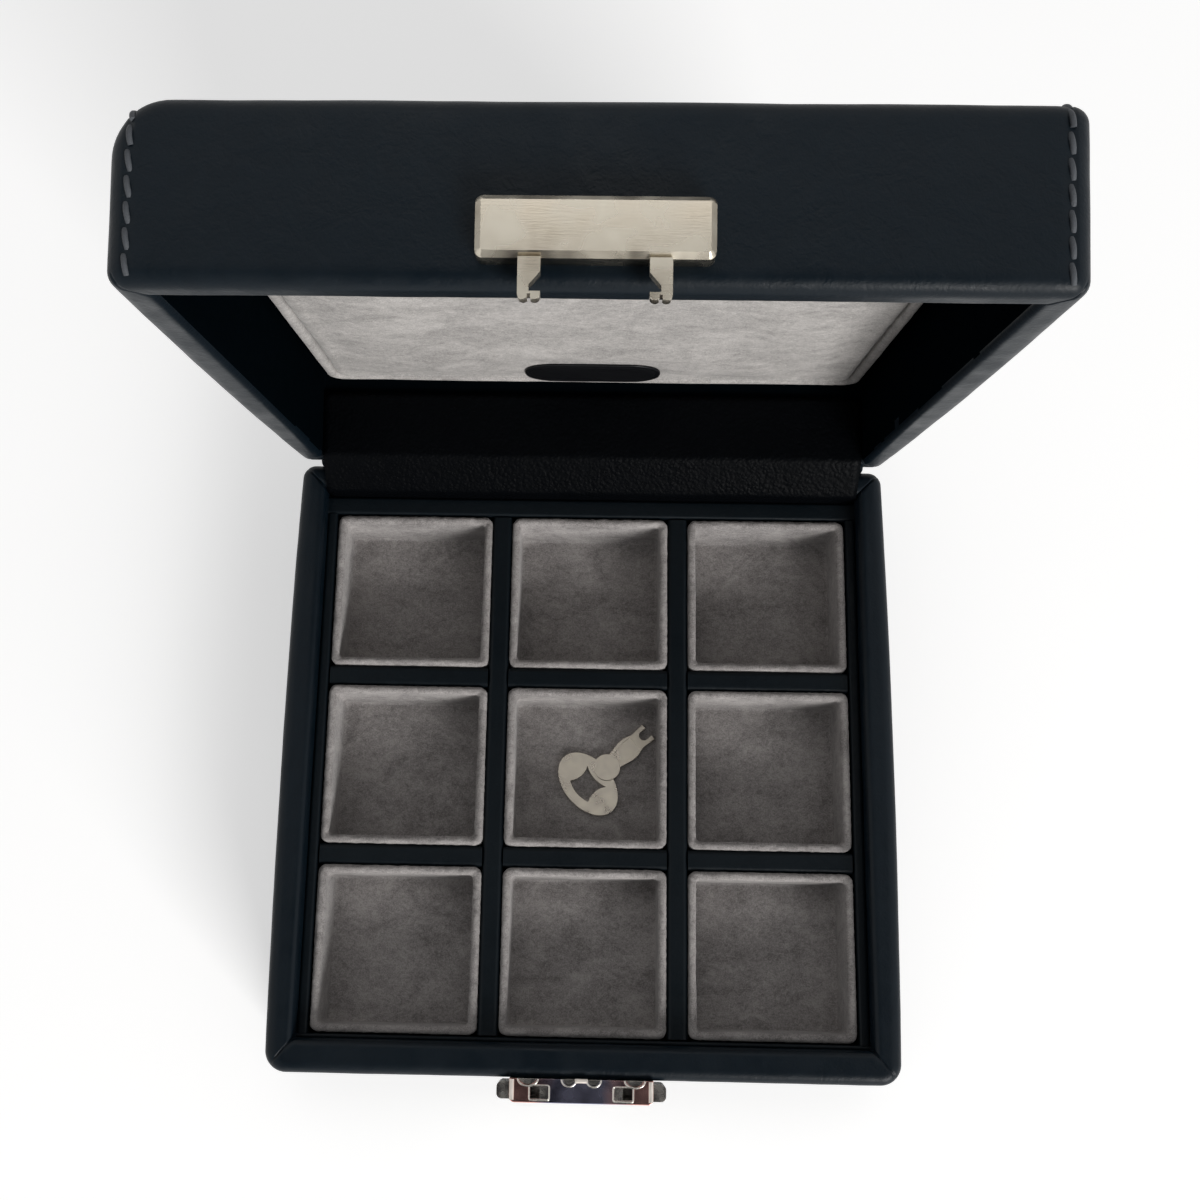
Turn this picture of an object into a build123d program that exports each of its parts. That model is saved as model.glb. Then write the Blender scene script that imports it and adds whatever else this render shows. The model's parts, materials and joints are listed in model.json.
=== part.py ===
from build123d import *
from math import cos, pi, radians, sin
import os

# A leather-covered cufflink box with a hinged lid, nine suede cups, a press lock and its key.
# Millimetres. +X is to the right, +Y to the hinge, +Z up. The origin is the centre of the
# underside. The lid is drawn shut and then swung open about its hinge to where it rests.

# Outside sizes
box_width = 150.0
box_depth = 151.4
base_height = 32.0
lid_height = 30.0
lid_gap = 0.3  # between the two rims when the lid is shut
open_angle = 80.0
side_bow = 0.9  # how far the two sides swell at half depth
front_corner = 5.0  # the base's upright corners beside the lock, seen from above
back_corner = 3.4  # all the other upright corners, seen from above
lid_edge_radius = 2.9
foot_chamfer = 1.0
rim_radius = 2.8
rim_inner_radius = 1.6

# Boards and skins
leather = 0.9
wall_board = 4.7
front_wall_board = 6.0  # behind the lock the base's board is thicker
floor_board = 4.0
roof_board = 4.0
felt = 0.8
felt_inset = 2.5
turn_in = 12.0  # how far the leather is glued in under the base
turn_in_corner = 3.0

# Cups and dividers
cup_height = 16.5
cup_wall = 2.0
cup_floor = 2.0
cup_corner = 2.0
cup_lip = 0.55
cup_drop = 4.9  # from the rim of the base down to the tops of the cups
divider = 5.0
divider_fit = 0.15  # from a divider to the cup on each side of it
divider_drop = 0.3  # from the tops of the cups down to the tops of the dividers
divider_crown = 1.2
lap_fit = 0.1
end_fit = 0.4  # from a divider's end to its liner
side_liner = 2.6
front_liner = 1.0
back_liner = 4.7
liner_fit = 0.4  # from a liner to the cups beside it
liner_crown = 0.8
front_liner_crown = 0.4

# Leather hinge
strip_side_fit = 0.3
strip_tuck = 2.0  # how far the inner strip reaches down behind the back liner
strip_corner = 4.0
strip_in_lid = 17.0
spine_width = 140.0
spine_reach = 13.0
spine_leather = 0.8

# Suede pad inside the lid
pad_plane = 19.5  # from the rim of the lid in to the pad
pad_side_margin = 8.35
pad_end_margin = 9.0
pad_skin = 2.0
pad_crown = 0.8
pad_slope = 2.4  # how wide the pad's sloping edge is
pad_corner = 2.0
piping = 2.5
piping_proud = 0.8
piping_bevel = 0.6
piping_crease = 0.3
label_width = 33.0
label_height = 16.0
label_thickness = 0.5
label_shoulder = 9.0
label_round = (0.87, 0.62)  # where the rounded ends pass, as shares of the half sizes
label_margin = 0.9  # from the raised border to the label

# Hasp on the lid's front
hasp_width = 36.0
hasp_height = 9.5
hasp_proud = 4.2
hasp_lift = 3.75  # from the rim of the lid up to the plate
hasp_corner = 1.2
hasp_bevel = 0.9
claw_spacing = 19.6
claw_width = 3.4
claw_thickness = 2.2
claw_standoff = 2.0  # from the lid's front to the back of a claw
claw_reach = 2.65  # below the rim of the lid
toe_height = 1.2
neck_width = 1.7
neck_top = 0.5  # below the rim of the lid, where the slanted side meets the neck
shoulder_top = 1.5  # above the rim of the lid, where the slanted side starts
toe_slit = 0.5
toe_slit_height = 0.8
prong_width = 2.6
prong_sheet = 0.8
prong_length = 4.4
prong_spacing = 24.0

# Press lock on the base's front
case_width = 33.7
case_depth = 5.4
case_height = 20.0
case_sheet = 0.4
case_corner = 1.3
back_sheet = 0.6
claw_fit = 0.4  # beside a claw in its slot
claw_slot_fit = 0.3  # before and behind a claw in its slot
ear_widths = (2.6, 3.9)  # of the inner and the outer ears
ear_depth = 1.2
ear_fit = 0.2
ear_spacings = (5.8, 25.0)
ear_drop = 0.1  # from the case's top to the ears' tops
latch_plate = 0.6
latch_gap = 0.1
latch_rail = 0.4
window_fit = 0.3  # from a claw to its latch's window when the button is pressed in
latch_side_fit = 0.2
latch_grip = 1.55  # how far a latch covers its claw's toe
button_travel = 2.0
button_proud = 3.0
button_depth = 3.9
button_height = 8.0
button_top_drop = 0.9
button_round = 1.2
flange = 1.2
flange_lip = 0.3
flange_gap = 0.15
tail = 0.8
tail_depth = 2.6
tail_bottom = 7.4  # from the case's top to the end of a latch's tail
spring_radius = 1.1
spring_wire = 0.36
spring_turns = 3
spring_drop = 3.5  # from the case's top to the spring's axis
spring_gap = 0.05
post_thickness = 1.2
post_height = 3.7
post_gap = 0.3  # from the post to the case's front sheet
cam_drop = 10.5  # from the case's top to the cam's axis
cam_radius = 2.9
cam_fit = 0.2
cam_gap = 0.1  # along the cam's axis, to the sheets before and behind it
cam_flange_radius = 3.7
cam_flange = 0.7
cam_bar = 2.4
cam_bar_recess = 0.1
cam_face_recess = 0.5
cam_pin_radius = 1.2
arm_length = 4.6
arm_tip = 3.2
arm_root = 2.0
arm_thickness = 1.0
rivet_head_radius = 1.7
rivet_head = 0.5
rivet_shank = 2.0  # the rivets' shanks are square
rivet_length = 4.6
rivet_spacing = 25.0
rivet_drop = 16.0

# Key
key_thickness = 1.2
bow_length = 18.7
bow_width = 12.3
key_reach = 20.8  # from the middle of the bow to the fork's tips
key_angle = 41.7
key_from_wall = 17.55  # from the cup's right wall to the middle of the bow
key_forward = 2.6  # from the cup's middle to the middle of the bow
boss_radius = 3.4
boss_centre = 6.5
boss_thickness = 1.6
shank_root = 9.2
shank_root_width = 4.3
shank_shoulder = 12.8
shank_waist = 14.8
shank_width = 5.8
fork_root = 16.9
fork_root_width = 4.4
fork_width = 4.9
fork_gap = 2.5
fork_depth = 2.8
panel_recess = 0.25
panel_margin = 0.8
panel_start = 10.1
panel_shoulder = 12.8
star_half = (3.0, 3.6)
star_hollow = 0.85  # how far three sides of the bow's hole bend in
star_bulge = 0.8  # how far its side across from the boss bends out
bow_edge = 0.3

# Places that follow from the sizes
half_width = box_width / 2
half_depth = box_depth / 2
wall = leather + wall_board + leather
cavity_x = half_width - wall
cavity_y = half_depth - wall
cavity_front = leather + front_wall_board + leather - half_depth
board_bottom = felt + leather
inner_floor = board_bottom + floor_board
cup_top = base_height - cup_drop
cup_bottom = cup_top - cup_height
cup_seat = cup_bottom + cup_floor
rows_y = (cavity_front + front_liner + cavity_y - back_liner - leather) / 2
cup_width = (cavity_x - side_liner - liner_fit - divider - 2 * divider_fit) * 2 / 3
cup_depth = 2 * (rows_y - cavity_front - front_liner - liner_fit - divider - 2 * divider_fit) / 3
pitch_x = cup_width + 2 * divider_fit + divider
pitch_y = cup_depth + 2 * divider_fit + divider
cups_x = pitch_x + cup_width / 2
cups_y = pitch_y + cup_depth / 2
key_place = (cup_width / 2 - cup_wall - key_from_wall, rows_y - key_forward, cup_seat)
lid_rim = base_height + lid_gap
lid_top = lid_rim + lid_height
roof = lid_top - leather - roof_board
pad_level = lid_rim + pad_plane
hinge_y = half_depth
hinge_z = base_height + lid_gap / 2
front = -half_depth
case_top = base_height
claw_x = claw_spacing / 2
latch_z = case_top - case_sheet - latch_gap - latch_plate
nose_edge = claw_x - claw_width / 2 + latch_grip
tail_x = nose_edge - latch_grip - tail - flange_gap


def block(low, high):
    """A box between two opposite corners."""
    size = [b - a for a, b in zip(low, high)]
    return Pos(*low) * Box(*size, align=(Align.MIN, Align.MIN, Align.MIN))


def rod(radius, start, length, along=(0, -1, 0)):
    """A round bar from a point along a direction."""
    return extrude(Plane(origin=start, z_dir=along) * Circle(radius), length)


def plan(inset, front_radius=back_corner):
    """The box seen from above, drawn in by an inset, with its two swollen sides."""
    x = half_width - inset
    y = half_depth - inset
    edges = [
        Line((-x, -y), (x, -y)),
        ThreePointArc((x, -y), (x + side_bow, 0), (x, y)),
        Line((x, y), (-x, y)),
        ThreePointArc((-x, y), (-x - side_bow, 0), (-x, -y)),
    ]
    sheet = make_face(Curve() + edges)
    sheet = fillet(sheet.vertices().group_by(Axis.Y)[-1], back_corner - inset)
    return fillet(sheet.vertices().group_by(Axis.Y)[0], front_radius - inset)


def mouth(shape, level):
    """The edges round the cavity's mouth at a level."""
    near = 0.01
    return [
        edge
        for edge in shape.edges()
        if abs(edge.center().Z - level) < near
        and abs(edge.center().X) < cavity_x + leather + near
        and abs(edge.center().Y) < cavity_y + leather + near
    ]


def cavity(skin, low, high, near=-cavity_y):
    """The straight-walled hollow of the base or lid, widened by a skin."""
    x = cavity_x + skin
    return block((-x, near - skin, low), (x, cavity_y + skin, high))


def board_edge(radius):
    """How far a board's edge is broken under a rounded leather edge."""
    return (radius - leather) * (2 - 2**0.5)


def swing(shape):
    """A piece of the shut lid, carried to where the open lid rests."""
    return shape.rotate(Axis((0, hinge_y, hinge_z), (1, 0, 0)), -open_angle)


# Base


def base_outside():
    """The outside of the base with its rounded rim, hollowed to the insides of the walls."""
    shell = extrude(Pos(0, 0, felt) * plan(0.0, front_corner), base_height - felt)
    shell = fillet(shell.edges().group_by(Axis.Z)[-1], rim_radius)
    shell = chamfer(shell.edges().group_by(Axis.Z)[0], foot_chamfer)
    shell -= cavity(0.0, inner_floor, base_height + 1, cavity_front)
    return fillet(mouth(shell, base_height), rim_inner_radius)


def base_board():
    """The base's board box, with its edges broken under the leather."""
    top = base_height - leather
    board = extrude(Pos(0, 0, board_bottom) * plan(leather, front_corner), top - board_bottom)
    board = chamfer(board.edges().group_by(Axis.Z)[-1], board_edge(rim_radius))
    board -= cavity(leather, inner_floor, base_height, cavity_front)
    return chamfer(mouth(board, top), board_edge(rim_inner_radius))


def under_window(low, high):
    """The patch under the base that the turned-in leather leaves open."""
    x = half_width - turn_in
    y = half_depth - turn_in
    patch = RectangleRounded(2 * x, 2 * y, turn_in_corner)
    return extrude(Pos(0, 0, low) * patch, high - low)


def pair(spacing, width, height, low, high, level):
    """Two square-cut pins along Y, side by side, or the holes for them."""
    return [
        block((x - width / 2, low, level - height / 2), (x + width / 2, high, level + height / 2))
        for x in (-spacing / 2, spacing / 2)
    ]


def rivet_pins(low, high):
    """The shanks of the lock's two rivets."""
    level = case_top - rivet_drop
    return pair(rivet_spacing, rivet_shank, rivet_shank, low, high, level)


def prong_pins(low, high):
    """The hasp's two flat prongs, on the shut lid."""
    level = lid_rim + hasp_lift + hasp_height / 2
    return pair(prong_spacing, prong_width, prong_sheet, low, high, level)


def base_carcass():
    """The board box under the leather."""
    return base_board() - rivet_pins(front, front - back_sheet + rivet_length)


def base_cover():
    """Leather over the outside, round the rim and down inside the walls."""
    skin = base_outside() - base_board()
    skin -= under_window(felt, board_bottom)
    return skin - rivet_pins(front - 1, front - back_sheet + rivet_length)


def underside_felt():
    """Felt under the base, with the card that fills the leather's window."""
    sheet = extrude(plan(felt_inset, front_corner), felt)
    return sheet + under_window(felt, board_bottom)


def packing_board():
    """The board that the cups and dividers stand on."""
    return block((-cavity_x, cavity_front, inner_floor), (cavity_x, cavity_y, cup_bottom))


def liner(low, high, crown):
    """A leather-covered strip between a wall and the cups, with a rounded top."""
    strip = block((*low, cup_bottom), (*high, cup_top))
    along = Axis.X if high[0] - low[0] > high[1] - low[1] else Axis.Y
    return fillet(strip.edges().filter_by(along).group_by(Axis.Z)[-1], crown)


def liners():
    """The four liners; the front and back ones run the full width."""
    inner_x = cavity_x - side_liner
    near = cavity_front + front_liner
    back = cavity_y - leather
    far = back - back_liner
    return {
        "liner_front": liner((-cavity_x, cavity_front), (cavity_x, near), front_liner_crown),
        "liner_back": liner((-cavity_x, far), (cavity_x, back), liner_crown),
        "liner_left": liner((-cavity_x, near), (-inner_x, far), liner_crown),
        "liner_right": liner((inner_x, near), (cavity_x, far), liner_crown),
    }


def divider_bar(length, along):
    """One wrapped divider along X or Y, with its rounded top."""
    top = cup_top - divider_drop
    x, y = (length / 2, divider / 2) if along == Axis.X else (divider / 2, length / 2)
    bar = block((-x, -y, cup_bottom), (x, y, top))
    return fillet(bar.edges().filter_by(along).group_by(Axis.Z)[-1], divider_crown)


def dividers():
    """Two dividers each way, halved over each other where they cross."""
    top = cup_top - divider_drop
    middle = (cup_bottom + top) / 2
    slot = divider / 2 + lap_fit
    across = divider_bar(2 * (cups_x + liner_fit - end_fit), Axis.X)
    deep = divider_bar(2 * (cups_y + liner_fit - end_fit), Axis.Y)
    for side in (-1, 1):
        x = side * pitch_x / 2
        y = side * pitch_y / 2
        across -= block((x - slot, -divider, middle), (x + slot, divider, top + 1))
        deep -= block((-divider, y - slot, 0), (divider, y + slot, middle))
    return {
        "divider_front": Pos(0, rows_y - pitch_y / 2, 0) * across,
        "divider_back": Pos(0, rows_y + pitch_y / 2, 0) * across,
        "divider_left": Pos(-pitch_x / 2, rows_y, 0) * deep,
        "divider_right": Pos(pitch_x / 2, rows_y, 0) * deep,
    }


def cup():
    """One card cup with its suede, standing on the packing board."""
    outside = Pos(0, 0, cup_bottom) * RectangleRounded(cup_width, cup_depth, cup_corner)
    inside = Rectangle(cup_width - 2 * cup_wall, cup_depth - 2 * cup_wall)
    shell = extrude(outside, cup_height)
    shell -= extrude(Pos(0, 0, cup_seat) * inside, cup_height)
    return chamfer(shell.edges().group_by(Axis.Z)[-1], cup_lip)


def cups():
    """Three rows of three cups, named from the front left."""
    rows = ("front", "middle", "back")
    columns = ("left", "centre", "right")
    one = cup()
    return {
        f"cup_{row}_{column}": Pos((j - 1) * pitch_x, (i - 1) * pitch_y + rows_y, 0) * one
        for i, row in enumerate(rows)
        for j, column in enumerate(columns)
    }


# Lid, drawn shut


def lid_outside():
    """The outside of the lid with its rounded edges, hollowed to the insides of the walls."""
    shell = extrude(Pos(0, 0, lid_rim) * plan(0.0), lid_height)
    shell = fillet(shell.edges().group_by(Axis.Z)[-1], lid_edge_radius)
    shell = fillet(shell.edges().group_by(Axis.Z)[0], rim_radius)
    shell -= cavity(0.0, lid_rim - 1, roof)
    return fillet(mouth(shell, lid_rim), rim_inner_radius)


def lid_board():
    """The lid's board box, with its edges broken under the leather."""
    low = lid_rim + leather
    board = extrude(Pos(0, 0, low) * plan(leather), lid_height - 2 * leather)
    board = chamfer(board.edges().group_by(Axis.Z)[-1], board_edge(lid_edge_radius))
    board = chamfer(board.edges().group_by(Axis.Z)[0], board_edge(rim_radius))
    board -= cavity(leather, lid_rim, roof)
    return chamfer(mouth(board, low), board_edge(rim_inner_radius))


def lid_carcass():
    """The lid's board box."""
    return swing(lid_board() - prong_pins(front, front + prong_length))


def lid_cover():
    """Leather over the lid, round its rim and up inside the walls."""
    return swing(lid_outside() - lid_board() - prong_pins(front - 1, front + prong_length))


def pad_size(inset):
    """The pad's width and depth, drawn in by an inset."""
    width = box_width - 2 * (pad_side_margin + inset)
    return width, box_depth - 2 * (pad_end_margin + inset)


def lid_foam():
    """Wadding between the roof and the pad."""
    sheet = Pos(0, 0, pad_level + pad_skin) * RectangleRounded(*pad_size(piping), pad_corner)
    return swing(extrude(sheet, roof - pad_level - pad_skin))


def lid_pad():
    """The suede pad, crowned a little towards the open side."""
    width, depth = pad_size(piping + piping_crease)
    high = pad_level + pad_skin
    low = pad_level + pad_crown
    slab = extrude(Pos(0, 0, low) * RectangleRounded(width, depth, pad_corner), high - low)
    foot = Pos(0, 0, low) * RectangleRounded(width, depth, pad_corner)
    crown = Pos(0, 0, pad_level) * RectangleRounded(
        width - 2 * pad_slope, depth - 2 * pad_slope, pad_corner
    )
    return swing(slab + loft([foot, crown], ruled=True))


def lid_pad_border():
    """The raised suede border round the pad."""
    outer = RectangleRounded(*pad_size(0.0), piping + pad_corner)
    inner = RectangleRounded(*pad_size(piping), pad_corner)
    low = pad_level - piping_proud + pad_crown
    ring = extrude(Pos(0, 0, low) * (outer - inner), roof - low)
    return swing(chamfer(ring.edges().group_by(Axis.Z)[0], piping_bevel))


def label_patch():
    """The bare leather label at the pad's hinge edge."""
    x = label_width / 2
    shoulder = label_shoulder
    back = half_depth - pad_end_margin - piping - label_margin
    y = label_height / 2
    round_x, round_y = x * label_round[0], y * label_round[1]
    outline = make_face(
        Curve()
        + [
            Line((-shoulder, -y), (shoulder, -y)),
            ThreePointArc((shoulder, -y), (round_x, -round_y), (x, 0)),
            ThreePointArc((x, 0), (round_x, round_y), (shoulder, y)),
            Line((shoulder, y), (-shoulder, y)),
            ThreePointArc((-shoulder, y), (-round_x, round_y), (-x, 0)),
            ThreePointArc((-x, 0), (-round_x, -round_y), (-shoulder, -y)),
        ]
    )
    place = Pos(0, back - y, pad_level - label_thickness)
    return swing(extrude(place * outline, label_thickness))


def upright(lines):
    """A face in the YZ plane inside lines and arcs."""
    return make_face(Plane.YZ * (Curve() + lines))


def on_lid(forward, up):
    """Where a point of the shut lid, measured from the hinge, lies in YZ when the lid is open."""
    turn = radians(open_angle)
    y = hinge_y - forward * cos(turn) + up * sin(turn)
    z = hinge_z + forward * sin(turn) + up * cos(turn)
    return y, z


def round_point(centre, radius, degrees):
    """A point on a circle in YZ."""
    return (
        centre[0] + radius * cos(radians(degrees)),
        centre[1] + radius * sin(radians(degrees)),
    )


def strip_side(radius, low, reach):
    """One face of the inner strip, as lines and arcs from the base's wall to the lid's."""
    base_round = (cavity_y + rim_inner_radius, base_height - rim_inner_radius)
    lid_round = on_lid(wall - rim_inner_radius, rim_inner_radius + lid_gap / 2)
    slope = Vector(lid_round[0] - base_round[0], lid_round[1] - base_round[1])
    taut = Vector(0, 1).get_angle(slope) * -1 + 180
    lid_turn = 180 - open_angle
    end = on_lid(wall - rim_inner_radius + radius, reach)
    first = round_point(base_round, radius, 180)
    second = round_point(base_round, radius, taut)
    third = round_point(lid_round, radius, taut)
    fourth = round_point(lid_round, radius, lid_turn)
    return [
        Line((first[0], low), first),
        ThreePointArc(first, round_point(base_round, radius, (180 + taut) / 2), second),
        Line(second, third),
        ThreePointArc(third, round_point(lid_round, radius, (taut + lid_turn) / 2), fourth),
        Line(fourth, end),
    ]


def hinge_strip():
    """The inner leather strip, taut over both rims, which stops the lid."""
    low = cup_top - strip_tuck
    width = 2 * (cavity_x - strip_side_fit)
    glued = strip_side(rim_inner_radius, low, strip_in_lid)
    shown = strip_side(rim_inner_radius + leather, low, strip_in_lid)
    ends = [Line(glued[0] @ 0, shown[0] @ 0), Line(glued[-1] @ 1, shown[-1] @ 1)]
    strip = extrude(upright(glued + shown + ends), width / 2, both=True)
    corners = strip.edges().filter_by(Axis.Y).group_by(Axis.Z)[0]
    return fillet(corners, strip_corner)


def spine():
    """The outer leather strip across the back, folded at the hinge."""
    fold = spine_leather * (1 - cos(radians(open_angle))) / sin(radians(open_angle))
    outline = Polyline(
        (hinge_y, hinge_z - spine_reach),
        (hinge_y + spine_leather, hinge_z - spine_reach),
        (hinge_y + spine_leather, hinge_z - fold),
        on_lid(-spine_leather, spine_reach),
        on_lid(0, spine_reach),
        (hinge_y, hinge_z),
        close=True,
    )
    return extrude(make_face(Plane.YZ * outline), spine_width / 2, both=True)


# Hasp, drawn on the shut lid


def claw(side):
    """One claw: straight outside, notched towards the middle, with a split toe."""
    outer = side * (claw_x + claw_width / 2)
    inner = side * (claw_x - claw_width / 2)
    neck = outer - side * neck_width
    tip = lid_rim - claw_reach
    middle = (outer + inner) / 2
    quarter = claw_width / 4
    outline = Curve() + [
        Line((outer, lid_rim + hasp_lift), (outer, tip + quarter)),
        ThreePointArc(
            (outer, tip + quarter), (middle + side * quarter, tip), (middle, tip + quarter)
        ),
        ThreePointArc(
            (middle, tip + quarter), (middle - side * quarter, tip), (inner, tip + quarter)
        ),
        Line((inner, tip + quarter), (inner, tip + toe_height)),
        Line((inner, tip + toe_height), (neck, tip + toe_height)),
        Line((neck, tip + toe_height), (neck, lid_rim - neck_top)),
        Line((neck, lid_rim - neck_top), (inner, lid_rim + shoulder_top)),
        Line((inner, lid_rim + shoulder_top), (inner, lid_rim + hasp_lift)),
        Line((inner, lid_rim + hasp_lift), (outer, lid_rim + hasp_lift)),
    ]
    y = front - claw_standoff
    body = extrude(Pos(0, y, 0) * make_face(Plane.XZ * outline), claw_thickness, dir=(0, -1, 0))
    slit = block(
        (middle - toe_slit / 2, y - claw_thickness - 1, tip),
        (middle + toe_slit / 2, y + 1, tip + toe_slit_height),
    )
    return body - slit


def hasp():
    """The hasp's plate with its two claws, one casting."""
    low = lid_rim + hasp_lift
    plate = block(
        (-hasp_width / 2, front - hasp_proud, low), (hasp_width / 2, front, low + hasp_height)
    )
    plate = fillet(plate.edges().filter_by(Axis.Y), hasp_corner)
    plate = chamfer(plate.faces().sort_by(Axis.Y)[0].edges(), hasp_bevel)
    return swing(plate + claw(-1) + claw(1))


def hasp_prongs():
    """The two prongs that hold the hasp in the lid's board."""
    return swing(Compound(children=prong_pins(front, front + prong_length)))


# Lock


def ears(fit, low, high):
    """Four rounded ears along the case's top rear edge, or the notches they lie in."""
    tabs = []
    for spacing, width in zip(ear_spacings, ear_widths):
        root = width / 2 + fit
        tip = (0, -ear_depth - fit)
        edge = [ThreePointArc((-root, 0), tip, (root, 0)), Line((root, 0), (-root, 0))]
        tab = make_face(Curve() + edge)
        for side in (-1, 1):
            tabs.append(extrude(Pos(side * spacing / 2, front, low) * tab, high - low, dir=(0, 0, 1)))
    return tabs


def lock_case():
    """The pressed case: open at the back, slotted on top, windowed at both ends."""
    low = case_top - case_height
    x = case_width / 2
    case = block((-x, front - case_depth, low), (x, front, case_top))
    uprights = case.edges().filter_by(Axis.Z).group_by(Axis.Y)[0]
    case = fillet(uprights, case_corner)
    case = chamfer(case.faces().sort_by(Axis.Y)[0].edges(), case_sheet / 2)
    case -= block(
        (-x + case_sheet, front - case_depth + case_sheet, low + case_sheet),
        (x - case_sheet, front + 1, case_top - case_sheet),
    )
    y = front - claw_standoff - claw_thickness / 2
    half_slot = claw_thickness / 2 + claw_slot_fit
    for side in (-1, 1):
        middle = side * claw_x
        reach = claw_width / 2 + claw_fit
        case -= block(
            (middle - reach, y - half_slot, case_top - 2 * case_sheet),
            (middle + reach, y + half_slot, case_top + 1),
        )
    window = button_depth / 2 + latch_side_fit
    top = case_top - button_top_drop + latch_side_fit
    middle = front - case_depth / 2
    case -= block(
        (-x - 1, middle - window, top - button_height - 2 * latch_side_fit),
        (x + 1, middle + window, top),
    )
    hole = rod(cam_radius + cam_fit, (0, front - case_depth - 1, case_top - cam_drop), 3, (0, 1, 0))
    return case - hole - ears(ear_fit, case_top - 2 * case_sheet, case_top + 1)


def lock_backplate():
    """The plate behind the mechanism, with a post for the springs and four ears."""
    low = case_top - case_height + case_sheet
    x = case_width / 2 - case_sheet
    plate = block((-x, front - back_sheet, low), (x, front, case_top - case_sheet))
    top = case_top - case_sheet
    post = block(
        (-post_thickness / 2, front - case_depth + case_sheet + post_gap, top - post_height),
        (post_thickness / 2, front - back_sheet, top),
    )
    plate += [post] + ears(0.0, top, case_top - ear_drop)
    plate -= rivet_pins(front - back_sheet, front)
    bearing = rod(cam_pin_radius + cam_fit, (0, front - 2, case_top - cam_drop), 3, (0, 1, 0))
    return plate - bearing


def latch(side):
    """One button with its slide: a windowed plate, a nose over the claw's toe and a tail."""
    middle = front - case_depth / 2
    inside_front = front - case_depth + case_sheet + latch_side_fit
    inside_back = front - back_sheet - latch_side_fit
    wall_in = case_width / 2 - case_sheet - flange_gap
    outer_end = case_width / 2 + button_proud
    window_out = claw_x + claw_width / 2 + button_travel + window_fit
    low = case_top - button_top_drop - button_height
    high = case_top - button_top_drop
    button = block(
        (wall_in - flange, middle - button_depth / 2, low),
        (outer_end, middle + button_depth / 2, high),
    )
    button = fillet(button.edges().filter_by(Axis.Z).group_by(Axis.X)[-1], button_round)
    plate = block((tail_x, inside_front, latch_z), (wall_in, inside_back, latch_z + latch_plate))
    plate -= block(
        (nose_edge, inside_front + latch_rail, latch_z - 1),
        (window_out, inside_back - latch_rail, latch_z + latch_plate + 1),
    )
    lip = block(
        (wall_in - flange, inside_front, low - flange_lip),
        (wall_in, inside_back, latch_z + latch_plate),
    )
    drop = block(
        (tail_x, middle - tail_depth / 2, case_top - tail_bottom),
        (tail_x + tail, middle + tail_depth / 2, latch_z + latch_plate),
    )
    slide = button + plate + lip + drop
    return slide if side > 0 else mirror(slide, Plane.YZ)


def latch_spring(side):
    """The coil spring between the middle post and a latch's tail."""
    start = post_thickness / 2 + spring_wire / 2 + spring_gap
    end = tail_x - spring_wire / 2 - spring_gap
    radius = spring_radius - spring_wire / 2
    y = front - case_depth / 2
    z = case_top - spring_drop
    path = Helix((end - start) / spring_turns, end - start, radius)
    section = Plane(origin=path @ 0, z_dir=path % 0) * RegularPolygon(spring_wire / 2, 3)
    coil = sweep(section, path)
    coil = Plane(origin=(start, y, z), z_dir=(1, 0, 0)) * coil
    return coil if side > 0 else mirror(coil, Plane.YZ)


def lock_cam():
    """The cam that the forked key turns: face, bar, collar, arm and pin in one."""
    z = case_top - cam_drop
    face_y = front - case_depth + cam_face_recess
    collar_y = front - case_depth + case_sheet + cam_gap
    cam = rod(cam_radius, (0, face_y, z), collar_y - face_y + cam_flange, (0, 1, 0))
    bar = block(
        (-cam_radius, front - case_depth + cam_bar_recess, z - cam_bar / 2),
        (cam_radius, collar_y, z + cam_bar / 2),
    )
    bar &= rod(cam_radius, (0, front - case_depth, z), case_depth, (0, 1, 0))
    cam += bar
    cam += rod(cam_flange_radius, (0, collar_y, z), cam_flange, (0, 1, 0))
    cam += rod(cam_pin_radius, (0, collar_y, z), front - cam_gap - collar_y, (0, 1, 0))
    arm_y = collar_y + cam_flange
    arm = Polyline(
        (0, -arm_root), (arm_length, -arm_tip), (arm_length, arm_tip), (0, arm_root), close=True
    )
    sheet = make_face(Plane(origin=(0, arm_y, z), x_dir=(1, 0, 0), z_dir=(0, 1, 0)) * arm)
    return cam + extrude(sheet, arm_thickness)


def lock_rivets():
    """Two rivets from inside the lock into the base's board."""
    under = front - back_sheet
    rivets = []
    for pin in rivet_pins(under, under + rivet_length):
        place = (pin.center().X, under - rivet_head, case_top - rivet_drop)
        rivets.append(pin + rod(rivet_head_radius, place, rivet_head, (0, 1, 0)))
    return Compound(children=rivets)


# Key


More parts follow.
